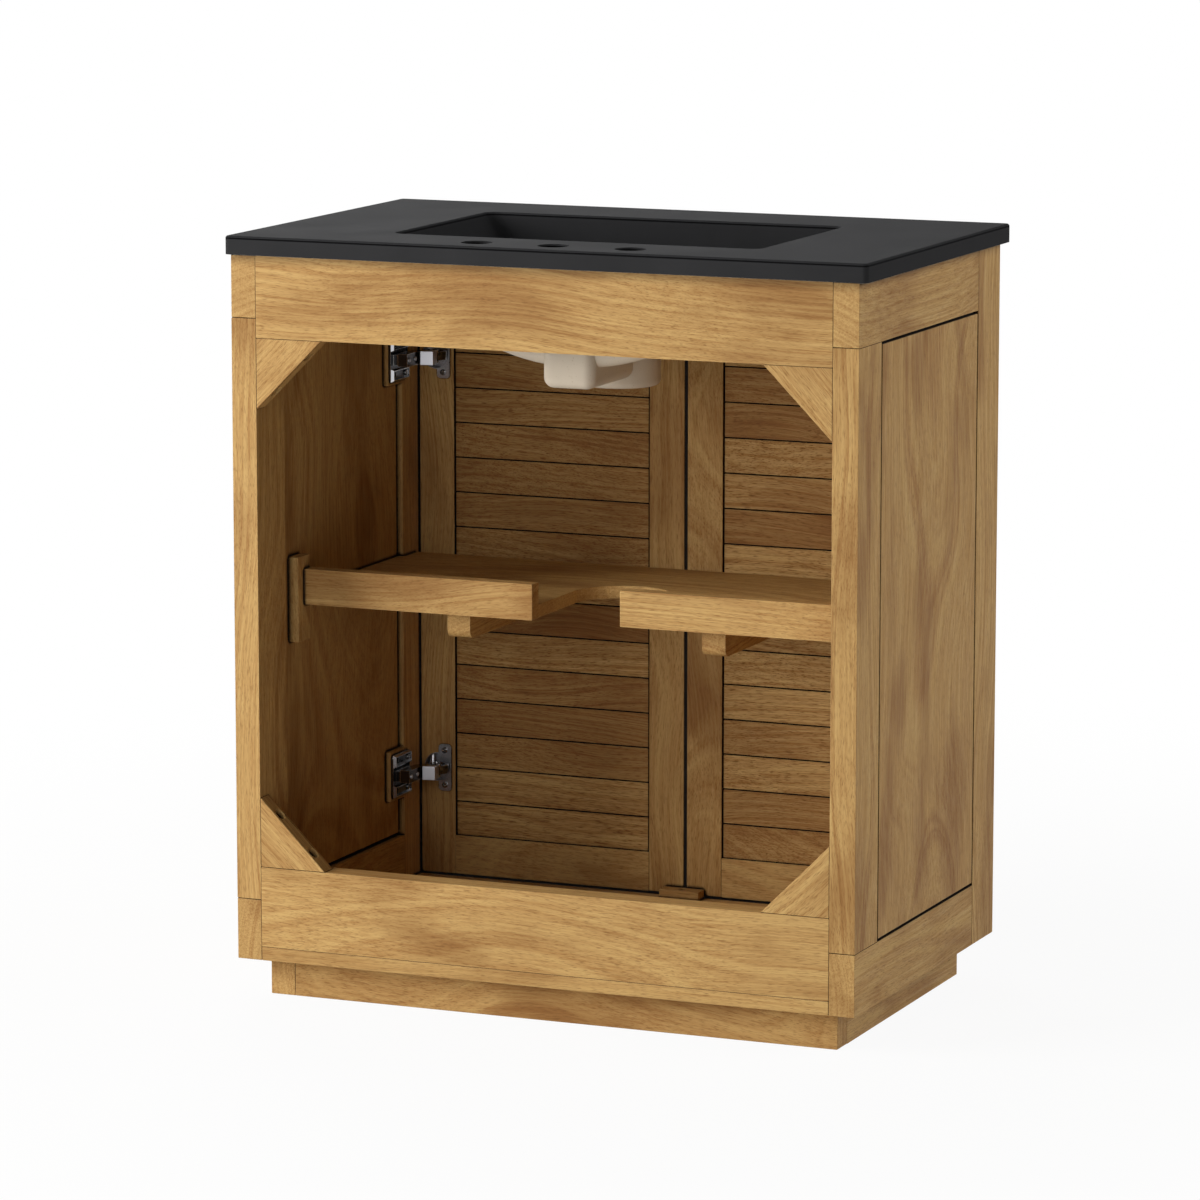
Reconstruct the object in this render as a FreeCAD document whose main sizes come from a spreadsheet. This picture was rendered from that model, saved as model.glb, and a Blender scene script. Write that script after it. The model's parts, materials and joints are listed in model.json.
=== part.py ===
import FreeCAD, Part
import Sketcher

import math
import os
import re

# A freestanding bathroom vanity: a slatted-door wooden cabinet, open at the back for
# the plumbing, under a one-piece ceramic top with a trough basin.
# Millimetres, +Z up, origin on the floor under the middle of the top.
# The doors face -Y and the open back faces +Y. Right and left are as seen from the front.

SIZES = {
    # Ceramic top and basin
    "top_width": 762,
    "top_depth": 470,
    "top_thickness": 21,
    "top_edge_round": 3,
    "top_corner_round": 6,
    "total_height": 866,
    "basin_width": 440,
    "basin_depth": 264,
    "basin_setback": 98,
    "basin_drop": 129,
    "basin_wall": 12,
    "basin_corner": 12,
    "basin_rim_round": 3,
    "bowl_outer_round": 16,
    "duct_width": 62,
    "duct_setback": 78,
    "duct_run": 152,
    "duct_drop": 142,
    "duct_round": 12,
    "drain_boss_radius": 47,
    "drain_boss_drop": 12,
    "drain_boss_round": 8,
    "tap_setback": 42,
    "tap_spacing": 91.5,
    "tap_radius": 17.5,
    "drain_radius": 23,
    "drain_seat_radius": 31,
    "drain_seat_depth": 2,
    "overflow_radius": 11,
    "overflow_drop": 42,
    "overflow_length": 15,
    # Carcass
    "carcass_width": 745,
    "carcass_depth": 459,
    "plinth_height": 44,
    "stock": 30,
    "frame_rail": 70,
    "rear_stile_width": 70,
    "front_stile_width": 73,
    "back_rail": 92,
    "bottom_thickness": 16,
    "panel_thickness": 23,
    "panel_gap": 3,
    "tongue": 8,
    "groove": 8,
    "tongue_end_gap": 0.5,
    # Corner gussets
    "gusset_leg": 80,
    "gusset_thickness": 22,
    "gusset_screw_offset": 29,
    "counterbore_radius": 7,
    "counterbore_depth": 9,
    "pilot_radius": 2.25,
    "gusset_screw_length": 42,
    "gusset_head_radius": 4.4,
    "gusset_head_height": 2.2,
    # Plinth
    "plinth_inset": 29,
    "plinth_back_inset": 26,
    "plinth_depth": 393,
    # Shelf
    "shelf_top": 451,
    "shelf_thickness": 15,
    "lip_setback": 104,
    "lip_thickness": 18,
    "lip_base": 437,
    "lip_height": 41,
    "shelf_front": 422,
    "lip_gap": 106,
    "notch_width": 114,
    "notch_end": 291,
    "joist_width": 28,
    "joist_height": 30,
    "joist_offset": 155,
    "joist_setback": 130,
    "joist_round": 10,
    "cleat_setback": 90,
    "cleat_depth": 30,
    "cleat_base": 395,
    "cleat_height": 98,
    "cleat_thickness": 13,
    # Doors
    "door_back": 430,
    "door_thickness": 22,
    "door_side_gap": 2.5,
    "door_meeting_gap": 4,
    "door_bottom_gap": 2.5,
    "door_stile": 44,
    "door_rail": 47,
    "door_groove": 4.5,
    "slat_pitch": 41.5,
    "slat_gap": 1.5,
    "slat_thickness": 18,
    "slat_tongue": 5,
    "slat_end_gap": 1.5,
    "front_rail_gap": 2.5,
    "finger_bevel": 9,
    # Door stop block
    "stop_width": 50,
    "stop_depth": 19,
    "stop_height": 10.5,
    "stop_clearance": 0.5,
    # Concealed hinges
    "hinge_low": 191,
    "hinge_high": 687.5,
    "hinge_pad_length": 39,
    "hinge_pad_height": 60,
    "cup_radius": 17.5,
    "cup_depth": 12,
    "cup_wall": 1,
    "cup_edge_distance": 21.5,
    "wing_width": 16,
    "wing_height": 56,
    "wing_thickness": 1.5,
    "wing_offset": 9.5,
    "hinge_corner": 4,
    "wing_screw_spacing": 42,
    "pin_radius": 2,
    "pin_clearance": 0.05,
    "cup_pin_x": 15.5,
    "cup_pin_y": 18,
    "cup_pin_length": 27.8,
    "arm_pin_x": 31.5,
    "arm_pin_y": 41.5,
    "link_height": 10,
    "link_half_band": 2.2,
    "link_eye_radius": 3.6,
    "arm_height": 15,
    "arm_nose_radius": 4.6,
    "arm_heel": 55,
    "arm_bend": 65,
    "arm_tail": 95,
    "fork_slot": 11,
    "fork_reach": 6.5,
    "plate_thickness": 2.5,
    "plate_width": 47,
    "plate_height": 52,
    "plate_start": 56,
    "ridge_height": 8,
    "ridge_width": 12,
    "plate_screw_spacing": 36,
    "plate_screw_inset": 6,
    "plate_eye_radius": 4,
    "plate_eye_inset": 11,
    "screw_head_radius": 3.6,
    "screw_head_height": 2,
    "screw_shank_radius": 1.6,
    "screw_shank_length": 11,
}
SLATS_PER_DOOR = 16
HINGE_HEIGHTS = {"upper": "hinge_high", "lower": "hinge_low"}
# Edges and faces closer than this, in millimetres, are taken as the same.
NEAR = 0.01
# The side on +X is the right-hand one for a person facing the doors.
SIDES = {"right": 1, "left": -1}

# Levels and planes that several pieces share, as formulas of the sheet
SLAB_BASE = "(total_height - top_thickness)"
BACK = "(top_depth/2)"
FRONT = "(top_depth/2 - carcass_depth)"
INNER_FACE = "(carcass_width/2 - stock)"
PANEL_FACE = "(carcass_width/2 - panel_thickness)"
TROUGH_RADIUS = "(((basin_width/2)^2 + basin_drop^2)/(2*basin_drop))"
RAIL_TOP = f"({SLAB_BASE} - frame_rail)"
RAIL_BASE = "(plinth_height + frame_rail)"
BOARD_TOP = "(plinth_height + bottom_thickness)"
DOOR_REAR = "(top_depth/2 - door_back)"
DOOR_FRONT = "(top_depth/2 - door_back - door_thickness)"
DOOR_BASE = f"({BOARD_TOP} + door_bottom_gap)"
DOOR_HEIGHT = f"(2*door_rail + {SLATS_PER_DOOR}*slat_pitch)"
DOOR_OUTER = f"({INNER_FACE} - door_side_gap)"
DOOR_INNER = "(door_meeting_gap/2)"
DOOR_MIDDLE = f"({DOOR_REAR} - door_thickness/2)"

doc = FreeCAD.newDocument("vanity_unit")
sheet = doc.addObject("Spreadsheet::Sheet", "dims")
for row, (alias, value) in enumerate(SIZES.items(), start=1):
    sheet.set(f"A{row}", alias)
    sheet.set(f"B{row}", str(value))
    sheet.setAlias(f"B{row}", alias)
doc.recompute()

pieces = []


def formula(text):
    """A formula of sheet names, as an expression that the document understands."""
    def sheet_name(match):
        word = match.group()
        return f"dims.{word}" if word in SIZES else word

    return re.sub(r"[a-z][a-z_]*", sheet_name, text)


def size(text):
    """The present value of a sum of sheet names."""
    terms = re.findall(r"([+-]?) ?([a-z_]+|[0-9.]+)", text)
    return sum((-1 if sign == "-" else 1)*float(SIZES.get(term, term)) for sign, term in terms)


def bind(thing, **formulas):
    for name, text in formulas.items():
        thing.setExpression(name, formula(text))


def put(thing, at):
    for axis, text in zip("xyz", at):
        thing.setExpression(f".Placement.Base.{axis}", formula(text))


def piece(thing, label):
    """Names a finished sub-part and keeps it for writing."""
    thing.Label = label
    pieces.append(thing)
    return thing


def box(name, lengths, at):
    block = doc.addObject("Part::Box", name)
    bind(block, Length=lengths[0], Width=lengths[1], Height=lengths[2])
    put(block, at)
    return block


def rod(name, radius, length, at, along="z"):
    """A cylinder that starts at a point and runs along +X, +Y or +Z."""
    turns = {"x": ((0, 1, 0), 90), "y": ((1, 0, 0), -90), "z": ((0, 0, 1), 0)}
    cylinder = doc.addObject("Part::Cylinder", name)
    bind(cylinder, Radius=radius, Height=length)
    axis, angle = turns[along]
    cylinder.Placement = FreeCAD.Placement(FreeCAD.Vector(), FreeCAD.Rotation(FreeCAD.Vector(*axis), angle))
    put(cylinder, at)
    return cylinder


def fuse(name, shapes):
    joined = doc.addObject("Part::MultiFuse", name)
    joined.Shapes = shapes
    joined.Refine = True
    return joined


def cut(name, base, tools):
    """Takes every tool away from a base."""
    removed = doc.addObject("Part::Cut", name)
    removed.Base = base
    removed.Tool = tools[0] if len(tools) == 1 else fuse(name + "_tools", tools)
    return removed


def common(name, first, second):
    shared = doc.addObject("Part::Common", name)
    shared.Base = first
    shared.Tool = second
    return shared


def group(label, shapes):
    """Separate solids that share one node."""
    together = doc.addObject("Part::Compound", label)
    together.Links = shapes
    return piece(together, label)


def rounded(name, base, radius, chosen, kind="Part::Fillet"):
    """Rounds, or bevels, the edges of a base for which chosen(edge) is true."""
    doc.recompute()
    numbers = [number for number, edge in enumerate(base.Shape.Edges, start=1) if chosen(edge)]
    if not numbers:
        raise RuntimeError(f"{name}: no edge to round")
    fillet = doc.addObject(kind, name)
    fillet.Base = base
    fillet.Edges = [(number, SIZES[radius], SIZES[radius]) for number in numbers]
    return fillet


def runs_along(edge, axis):
    """True for a straight edge parallel to an axis, 0 for X, 1 for Y and 2 for Z."""
    if not isinstance(edge.Curve, Part.Line):
        return False
    return abs(edge.tangentAt(edge.FirstParameter)[axis]) > 1 - NEAR


def is_arc(edge):
    return isinstance(edge.Curve, Part.Circle)


def level(edge):
    return edge.CenterOfMass.z


def profile_body(label, corners, depth):
    """A padded body on its own XY plane, its outline corners bound to the sheet."""
    body = doc.addObject("PartDesign::Body", label)
    plane = next(item for item in body.Origin.OriginFeatures if item.Role == "XY_Plane")
    sketch = body.newObject("Sketcher::SketchObject", label + "_outline")
    sketch.AttachmentSupport = (plane, "")
    sketch.MapMode = "FlatFace"
    points = [FreeCAD.Vector(size(x), size(y), 0) for x, y in corners]
    for here, there in zip(points, points[1:] + points[:1]):
        sketch.addGeometry(Part.LineSegment(here, there))
    for number in range(len(points)):
        sketch.addConstraint(Sketcher.Constraint("Coincident", number, 2, (number + 1) % len(points), 1))
    for number, (x, y) in enumerate(corners):
        for kind, text in (("DistanceX", x), ("DistanceY", y)):
            index = sketch.addConstraint(Sketcher.Constraint(kind, -1, 1, number, 1, size(text)))
            sketch.setExpression(f"Constraints[{index}]", formula(text))
    pad = body.newObject("PartDesign::Pad", label + "_pad")
    pad.Profile = sketch
    bind(pad, Length=depth)
    return body


def sided(sign, inner, outer):
    """The lower X of a span that lies between two distances out from the middle."""
    return inner if sign > 0 else f"-({outer})"


def ceramic_top():
    """The slab and trough basin, cast in one piece with the overflow duct under it."""
    slab = box("slab", ("top_width", "top_depth", "top_thickness"),
               ("-top_width/2", "-top_depth/2", SLAB_BASE))
    slab = rounded("slab_corners", slab, "top_corner_round", lambda edge: runs_along(edge, 2))
    top = SIZES["total_height"]
    slab = rounded("slab_edges", slab, "top_edge_round", lambda edge: level(edge) > top - NEAR)

    far_side = f"{BACK} - basin_setback - basin_depth"
    axis_height = f"total_height - basin_drop + {TROUGH_RADIUS}"
    bowl = box("bowl_blank",
               ("basin_width + 4*basin_wall", "basin_depth + 2*basin_wall", "basin_drop + basin_wall"),
               ("-basin_width/2 - 2*basin_wall", f"{far_side} - basin_wall",
                "total_height - basin_drop - basin_wall - top_thickness/2"))
    barrel = rod("bowl_barrel", f"{TROUGH_RADIUS} + basin_wall", "top_depth",
                 ("0", "-top_depth/2", axis_height), "y")
    bowl = common("bowl_form", bowl, barrel)
    bowl = rounded("bowl_rounded", bowl, "bowl_outer_round", is_arc)

    duct = box("duct_blank", ("duct_width", "duct_run", "duct_drop + top_thickness/2"),
               ("-duct_width/2", f"{BACK} - duct_setback - duct_run", f"{SLAB_BASE} - duct_drop"))
    duct_top = SIZES["total_height"] - SIZES["top_thickness"]
    duct = rounded("duct_rounded", duct, "duct_round", lambda edge: level(edge) < duct_top)
    middle = f"{BACK} - basin_setback - basin_depth/2"
    boss_base = f"{SLAB_BASE} - duct_drop - drain_boss_drop"
    boss = rod("drain_boss_blank", "drain_boss_radius", "drain_boss_drop + duct_drop/3",
               ("0", middle, boss_base))
    boss_level = size(boss_base) + NEAR
    boss = rounded("drain_boss", boss, "drain_boss_round", lambda edge: level(edge) < boss_level)
    casting = fuse("casting", [slab, bowl, duct, boss])

    hollow = box("hollow_blank", ("basin_width + 4*basin_wall", "basin_depth", "basin_drop + basin_wall"),
                 ("-basin_width/2 - 2*basin_wall", far_side, "total_height - basin_drop"))
    trough = rod("trough", TROUGH_RADIUS, "top_depth", ("0", "-top_depth/2", axis_height), "y")
    hollow = common("hollow_form", hollow, trough)
    hollow = rounded("hollow_rounded", hollow, "basin_corner", is_arc)

    tools = [hollow]
    for name, side in (("hot", 1), ("spout", 0), ("cold", -1)):
        tools.append(rod(f"{name}_tap_hole", "tap_radius", "2*top_thickness",
                         (f"{side}*tap_spacing", f"{BACK} - tap_setback", f"{SLAB_BASE} - top_thickness/2")))
    tools.append(rod("drain_hole", "drain_radius", "duct_drop", ("0", middle, f"{boss_base} - basin_wall")))
    tools.append(rod("drain_seat", "drain_seat_radius", "basin_wall",
                     ("0", middle, "total_height - basin_drop - drain_seat_depth")))
    tools.append(rod("overflow_hole", "overflow_radius", "overflow_length",
                     ("0", f"{BACK} - basin_setback - basin_wall/4", "total_height - overflow_drop"), "y"))
    pierced = cut("casting_pierced", casting, tools)

    half_width = SIZES["basin_width"]/2 + NEAR
    half_depth = SIZES["basin_depth"]/2 + NEAR
    centre = SIZES["top_depth"]/2 - SIZES["basin_setback"] - SIZES["basin_depth"]/2

    def on_rim(edge):
        spot = edge.CenterOfMass
        return abs(spot.z - top) < NEAR and abs(spot.x) < half_width and abs(spot.y - centre) < half_depth

    piece(rounded("ceramic_top", pierced, "basin_rim_round", on_rim), "vanity_top")


def side_frame(side, sign):
    """A framed side: two stiles, two rails and a flush panel held by tongues in grooves."""
    outer = sided(sign, INNER_FACE, "carcass_width/2")
    tongue_at = f"{PANEL_FACE} + (panel_thickness - tongue)/2"
    tongue_x = sided(sign, tongue_at, f"{tongue_at} + tongue")
    stile_edge = f"({FRONT} + front_stile_width)"
    opening = "(carcass_depth - front_stile_width - rear_stile_width)"
    opening_height = f"({RAIL_TOP} - {RAIL_BASE})"
    rear_edge = f"({BACK} - rear_stile_width)"
    reach = "(groove - tongue_end_gap)"

    blank = box(f"{side}_front_stile_blank", ("stock", "front_stile_width", f"{SLAB_BASE} - plinth_height"),
                (outer, FRONT, "plinth_height"))
    slot = box(f"{side}_front_stile_groove", ("tongue", "groove", f"{opening_height} + 2*groove"),
               (tongue_x, f"{stile_edge} - groove", f"{RAIL_BASE} - groove"))
    # A thin pad behind the stile, over the panel, backs each hinge plate.
    pad = (f"{PANEL_FACE} - {INNER_FACE}", "hinge_pad_length", "hinge_pad_height")
    pads = [box(f"{side}_{place}_hinge_pad", pad,
                (sided(sign, INNER_FACE, PANEL_FACE), stile_edge, f"{height} - hinge_pad_height/2"))
            for place, height in HINGE_HEIGHTS.items()]
    padded = fuse(f"{side}_front_stile_padded", [blank, *pads])
    piece(cut(f"{side}_front_stile_cut", padded, [slot]), f"{side}_front_stile")

    blank = box(f"{side}_rear_stile_blank", ("stock", "rear_stile_width", opening_height),
                (outer, rear_edge, RAIL_BASE))
    slot = box(f"{side}_rear_stile_groove", ("tongue", "groove", opening_height),
               (tongue_x, rear_edge, RAIL_BASE))
    piece(cut(f"{side}_rear_stile_cut", blank, [slot]), f"{side}_rear_stile")

    rail_heights = {"top": (RAIL_TOP, RAIL_TOP), "bottom": ("plinth_height", f"{RAIL_BASE} - groove")}
    for place, (rail_base, groove_base) in rail_heights.items():
        name = f"{side}_side_{place}_rail"
        blank = box(f"{name}_blank", ("stock", "carcass_depth - front_stile_width", "frame_rail"),
                    (outer, stile_edge, rail_base))
        slot = box(f"{name}_groove", ("tongue", f"{opening} + groove", "groove"),
                   (tongue_x, stile_edge, groove_base))
        piece(cut(f"{name}_cut", blank, [slot]), name)

    board = box(f"{side}_panel_board",
                ("panel_thickness", f"{opening} - 2*panel_gap", f"{opening_height} - 2*panel_gap"),
                (sided(sign, PANEL_FACE, "carcass_width/2"), f"{stile_edge} + panel_gap",
                 f"{RAIL_BASE} + panel_gap"))
    core = box(f"{side}_panel_tongue",
               ("tongue", f"{opening} + 2*{reach}", f"{opening_height} + 2*{reach}"),
               (tongue_x, f"{stile_edge} - {reach}", f"{RAIL_BASE} - {reach}"))
    piece(fuse(f"{side}_panel_joined", [board, core]), f"{side}_side_panel")


def cross_rails():
    """The rails across the back and front, and the board that closes the bottom."""
    span = f"2*{INNER_FACE}"
    start = f"-{INNER_FACE}"
    rear = f"{BACK} - stock"
    piece(box("top_rail_back", (span, "stock", "back_rail"), (start, rear, f"{SLAB_BASE} - back_rail")),
          "back_top_rail")
    piece(box("bottom_rail_back", (span, "stock", "back_rail"), (start, rear, BOARD_TOP)), "back_bottom_rail")
    piece(box("board", (span, "carcass_depth", "bottom_thickness"), (start, FRONT, "plinth_height")),
          "bottom_board")
    rail_base = f"{DOOR_BASE} + {DOOR_HEIGHT} + front_rail_gap"
    piece(box("top_rail_front", (span, "stock", f"{SLAB_BASE} - ({rail_base})"), (start, FRONT, rail_base)),
          "front_top_rail")


def plinth():
    """Four boards that lap each other in turn round the corners."""
    half = "(carcass_width/2 - plinth_inset)"
    rear = f"({BACK} - plinth_back_inset)"
    front = f"({rear} - plinth_depth)"
    long_board = (f"2*{half} - stock", "stock", "plinth_height")
    short_board = ("stock", "plinth_depth - stock", "plinth_height")
    piece(box("rear_plinth", long_board, (f"-{half}", f"{rear} - stock", "0")), "plinth_back")
    piece(box("front_plinth", long_board, (f"-{half} + stock", front, "0")), "plinth_front")
    piece(box("right_plinth", short_board, (f"{half} - stock", f"{front} + stock", "0")), "plinth_right")
    piece(box("left_plinth", short_board, (f"-{half}", front, "0")), "plinth_left")


def gusset_drill(name, radius, depth, along, start="0"):
    """A cylinder square to a gusset's long face, from a depth below that face inwards."""
    inward = FreeCAD.Vector(-1, -1, 0)
    drill = doc.addObject("Part::Cylinder", name)
    bind(drill, Radius=radius, Height=depth)
    drill.Placement = FreeCAD.Placement(FreeCAD.Vector(), FreeCAD.Rotation(FreeCAD.Vector(0, 0, 1), inward))
    put(drill, (f"gusset_leg/2 + ({along} - ({start}))/sqrt(2)",
                f"gusset_leg/2 - ({along} + ({start}))/sqrt(2)", "gusset_thickness/2"))
    return drill


def gussets():
    """Triangular blocks that brace the corners of the open back, each held by two screws."""
    screws = []
    for place, up in (("upper", -1), ("lower", 1)):
        corner_height = f"{SLAB_BASE} - back_rail" if place == "upper" else f"{BOARD_TOP} + back_rail"
        for side, sign in SIDES.items():
            name = f"{place}_{side}_gusset"
            along_x = FreeCAD.Vector(-sign, 0, 0)
            along_z = FreeCAD.Vector(0, 0, up)
            normal = along_x.cross(along_z)
            turn = FreeCAD.Rotation(along_x, along_z, normal, "XYZ")
            face = BACK if normal.y < 0 else f"{BACK} - gusset_thickness"
            corner = (f"{sign}*{INNER_FACE}", face, corner_height)
            block = profile_body(f"{name}_block", [("0", "0"), ("gusset_leg", "0"), ("0", "gusset_leg")],
                                 "gusset_thickness")
            tools = []
            for number, offset in enumerate(("gusset_screw_offset", "-gusset_screw_offset")):
                label = f"{name}_{number}"
                tools.append(gusset_drill(f"{label}_counterbore", "counterbore_radius", "counterbore_depth",
                                          offset))
                tools.append(gusset_drill(f"{label}_pilot", "pilot_radius", "gusset_leg", offset))
                head = gusset_drill(f"{label}_head", "gusset_head_radius", "gusset_head_height", offset,
                                    "counterbore_depth - gusset_head_height")
                shank = gusset_drill(f"{label}_shank", "pilot_radius",
                                     "gusset_screw_length - counterbore_depth", offset, "counterbore_depth")
                screw = fuse(f"{label}_screw", [head, shank])
                screw.Placement.Rotation = turn
                put(screw, corner)
                screws.append(screw)
            drilled = cut(f"{name}_drilled", block, tools)
            drilled.Placement.Rotation = turn
            put(drilled, corner)
            piece(drilled, name)
    group("gusset_screws", screws)


def shelf():
    """The half-height shelf with its pipe notch, rear lips, joists and end cleats."""
    board_front = f"({BACK} - shelf_front)"
    board_base = "(shelf_top - shelf_thickness)"
    lip_face = f"({BACK} - lip_setback - lip_thickness)"
    board = box("shelf_blank", (f"2*{PANEL_FACE}", f"{lip_face} - {board_front}", "shelf_thickness"),
                (f"-{PANEL_FACE}", board_front, board_base))
    notch_centre = f"({BACK} - notch_end + notch_width/2)"
    below_board = "(shelf_top - 3*shelf_thickness/2)"
    tools = [
        box("notch_slot", ("notch_width", f"{BACK} - {notch_centre}", "2*shelf_thickness"),
            ("-notch_width/2", notch_centre, below_board)),
        rod("notch_round", "notch_width/2", "2*shelf_thickness", ("0", notch_centre, below_board)),
    ]
    cleat_inner = f"({PANEL_FACE} - cleat_thickness)"
    joist_rear = SIZES["top_depth"]/2 - SIZES["joist_setback"]
    joist_foot = SIZES["shelf_top"] - SIZES["shelf_thickness"] - SIZES["joist_height"]

    def under_tail(edge):
        spot = edge.CenterOfMass
        return runs_along(edge, 0) and spot.y > joist_rear - NEAR and spot.z < joist_foot + NEAR

    for side, sign in SIDES.items():
        step = f"({PANEL_FACE} - {INNER_FACE})"
        tools.append(box(f"{side}_shelf_stile_notch",
                         (step, "front_stile_width", "2*shelf_thickness"),
                         (sided(sign, INNER_FACE, PANEL_FACE), FRONT, below_board)))
        piece(box(f"{side}_cleat", ("cleat_thickness", "cleat_depth", "cleat_height"),
                  (sided(sign, cleat_inner, PANEL_FACE), f"{BACK} - cleat_setback - cleat_depth",
                   "cleat_base")), f"{side}_shelf_cleat")
        piece(box(f"{side}_lip", (f"{cleat_inner} - lip_gap/2", "lip_thickness", "lip_height"),
                  (sided(sign, "lip_gap/2", cleat_inner), lip_face, "lip_base")), f"{side}_shelf_lip")
        joist = box(f"{side}_joist_blank",
                    ("joist_width", f"{BACK} - joist_setback - {board_front}", "joist_height"),
                    (f"{sign}*joist_offset - joist_width/2", board_front, f"{board_base} - joist_height"))
        piece(rounded(f"{side}_joist_rounded", joist, "joist_round", under_tail), f"{side}_shelf_joist")
    piece(cut("shelf_cut", board, tools), "shelf_board")


def door_stop():
    """A small screwed block on the floor, behind the doors' meeting line."""
    rear_face = f"{DOOR_REAR} + stop_clearance"
    middle = f"{rear_face} + stop_depth/2"
    block = box("stop_blank", ("stop_width", "stop_depth", "stop_height"),
                ("-stop_width/2", rear_face, BOARD_TOP))
    shoulder = f"{BOARD_TOP} + stop_height/2"
    sink = rod("stop_sink", "screw_head_radius + stop_clearance", "stop_height", ("0", middle, shoulder))
    pilot = rod("stop_pilot", "screw_shank_radius", "stop_height", ("0", middle, BOARD_TOP))
    piece(cut("stop_drilled", block, [sink, pilot]), "door_stop_block")
    head = rod("stop_screw_head", "screw_head_radius", "screw_head_height", ("0", middle, shoulder))
    shank = rod("stop_screw_shank", "screw_shank_radius", "stop_height/2 + screw_shank_length",
                ("0", middle, f"{BOARD_TOP} - screw_shank_length"))
    piece(fuse("stop_screw", [head, shank]), "door_stop_screw")


def door(side, sign):
    """An inset door: two stiles, two rails and a stack of tongued slats."""
    leaf = f"{side}_door"
    core_y = f"{DOOR_MIDDLE} - tongue/2"
    field_inner = f"({DOOR_INNER} + door_stile)"
    field_outer = f"({DOOR_OUTER} - door_stile)"
    field = f"({field_outer} - {field_inner})"
    reach = "(door_groove - tongue_end_gap)"

    blank = box(f"{leaf}_hinge_stile_blank", ("door_stile", "door_thickness", DOOR_HEIGHT),
                (sided(sign, field_outer, DOOR_OUTER), DOOR_FRONT, DOOR_BASE))
    tools = [box(f"{leaf}_hinge_stile_groove", ("door_groove", "tongue", DOOR_HEIGHT),
                 (sided(sign, field_outer, f"{field_outer} + door_groove"), core_y, DOOR_BASE))]
    for place, hinge_height in HINGE_HEIGHTS.items():
        tools.append(rod(f"{leaf}_{place}_cup_bore", "cup_radius + pin_clearance", "cup_depth + cup_wall",
                         (f"{sign}*({DOOR_OUTER} - cup_edge_distance)",
                          f"{DOOR_REAR} - cup_depth - pin_clearance", hinge_height), "y"))
    piece(cut(f"{leaf}_hinge_stile_cut", blank, tools), f"{leaf}_hinge_stile")

    blank = box(f"{leaf}_meeting_stile_blank", ("door_stile", "door_thickness", DOOR_HEIGHT),
                (sided(sign, DOOR_INNER, field_inner), DOOR_FRONT, DOOR_BASE))
    slot = box(f"{leaf}_meeting_stile_groove", ("door_groove", "tongue", DOOR_HEIGHT),
               (sided(sign, f"{field_inner} - door_groove", field_inner), core_y, DOOR_BASE))
    grooved = cut(f"{leaf}_meeting_stile_cut", blank, [slot])
    front = SIZES["top_depth"]/2 - SIZES["door_back"] - SIZES["door_thickness"]
    edge_x = SIZES["door_meeting_gap"]/2

    def on_front_corner(edge):
        spot = edge.CenterOfMass
        return runs_along(edge, 2) and abs(spot.y - front) < NEAR and abs(abs(spot.x) - edge_x) < NEAR

    piece(rounded(f"{leaf}_meeting_stile_bevel", grooved, "finger_bevel", on_front_corner, "Part::Chamfer"),
          f"{leaf}_meeting_stile")

    field_x = sided(sign, field_inner, field_outer)
    core_x = sided(sign, f"{field_inner} - {reach}", f"{field_outer} + {reach}")
    core_length = f"{field} + 2*{reach}"
    field_base = f"({DOOR_BASE} + door_rail)"
    field_top = f"({field_base} + {SLATS_PER_DOOR}*slat_pitch)"
    for place, rail_base in (("bottom", DOOR_BASE), ("top", field_top)):
        name = f"{leaf}_{place}_rail"
        solid = box(f"{name}_board", (field, "door_thickness", "door_rail"), (field_x, DOOR_FRONT, rail_base))
        tongue_top = "slat_tongue - slat_gap/2" if place == "bottom" else "0"
        tenon = box(f"{name}_tenon", (core_length, "tongue", f"door_rail + {tongue_top}"),
                    (core_x, core_y, rail_base))
        rail = fuse(f"{name}_joined", [solid, tenon])
        if place == "top":
            slot = box(f"{name}_groove", (core_length, "tongue", "slat_tongue"), (core_x, core_y, rail_base))
            rail = cut(f"{name}_grooved", rail, [slot])
        piece(rail, name)

    slats = []
    for number in range(SLATS_PER_DOOR):
        name = f"{leaf}_slat_{number}"
        base = f"({field_base} + {number}*slat_pitch)"
        face_height = "(slat_pitch - slat_gap)"
        inner = f"{field_inner} + slat_end_gap"
        outer = f"{field_outer} - slat_end_gap"
        face = box(f"{name}_face", (f"{outer} - ({inner})", "slat_thickness", face_height),
                   (sided(sign, inner, outer), f"{DOOR_MIDDLE} - slat_thickness/2", f"{base} + slat_gap/2"))
        core = box(f"{name}_core", (core_length, "tongue", f"{face_height} + slat_tongue"),
                   (core_x, core_y, f"{base} + slat_gap/2"))
        slot = box(f"{name}_groove", (core_length, "tongue", "slat_tongue"), (core_x, core_y, base))
        slats.append(cut(f"{name}_grooved", fuse(f"{name}_joined", [face, core]), [slot]))
    group(f"{leaf}_slats", slats)


def seat(thing, side, height):
    """Sets a hinge piece, drawn from the stile's face and the door's front, at its height."""
    turn = 180 if side == "right" else 0
    thing.Placement.Rotation = FreeCAD.Rotation(FreeCAD.Vector(0, 1, 0), turn)
    put(thing, (f"{SIDES[side]}*{INNER_FACE}", DOOR_FRONT, height))
    return thing


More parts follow.
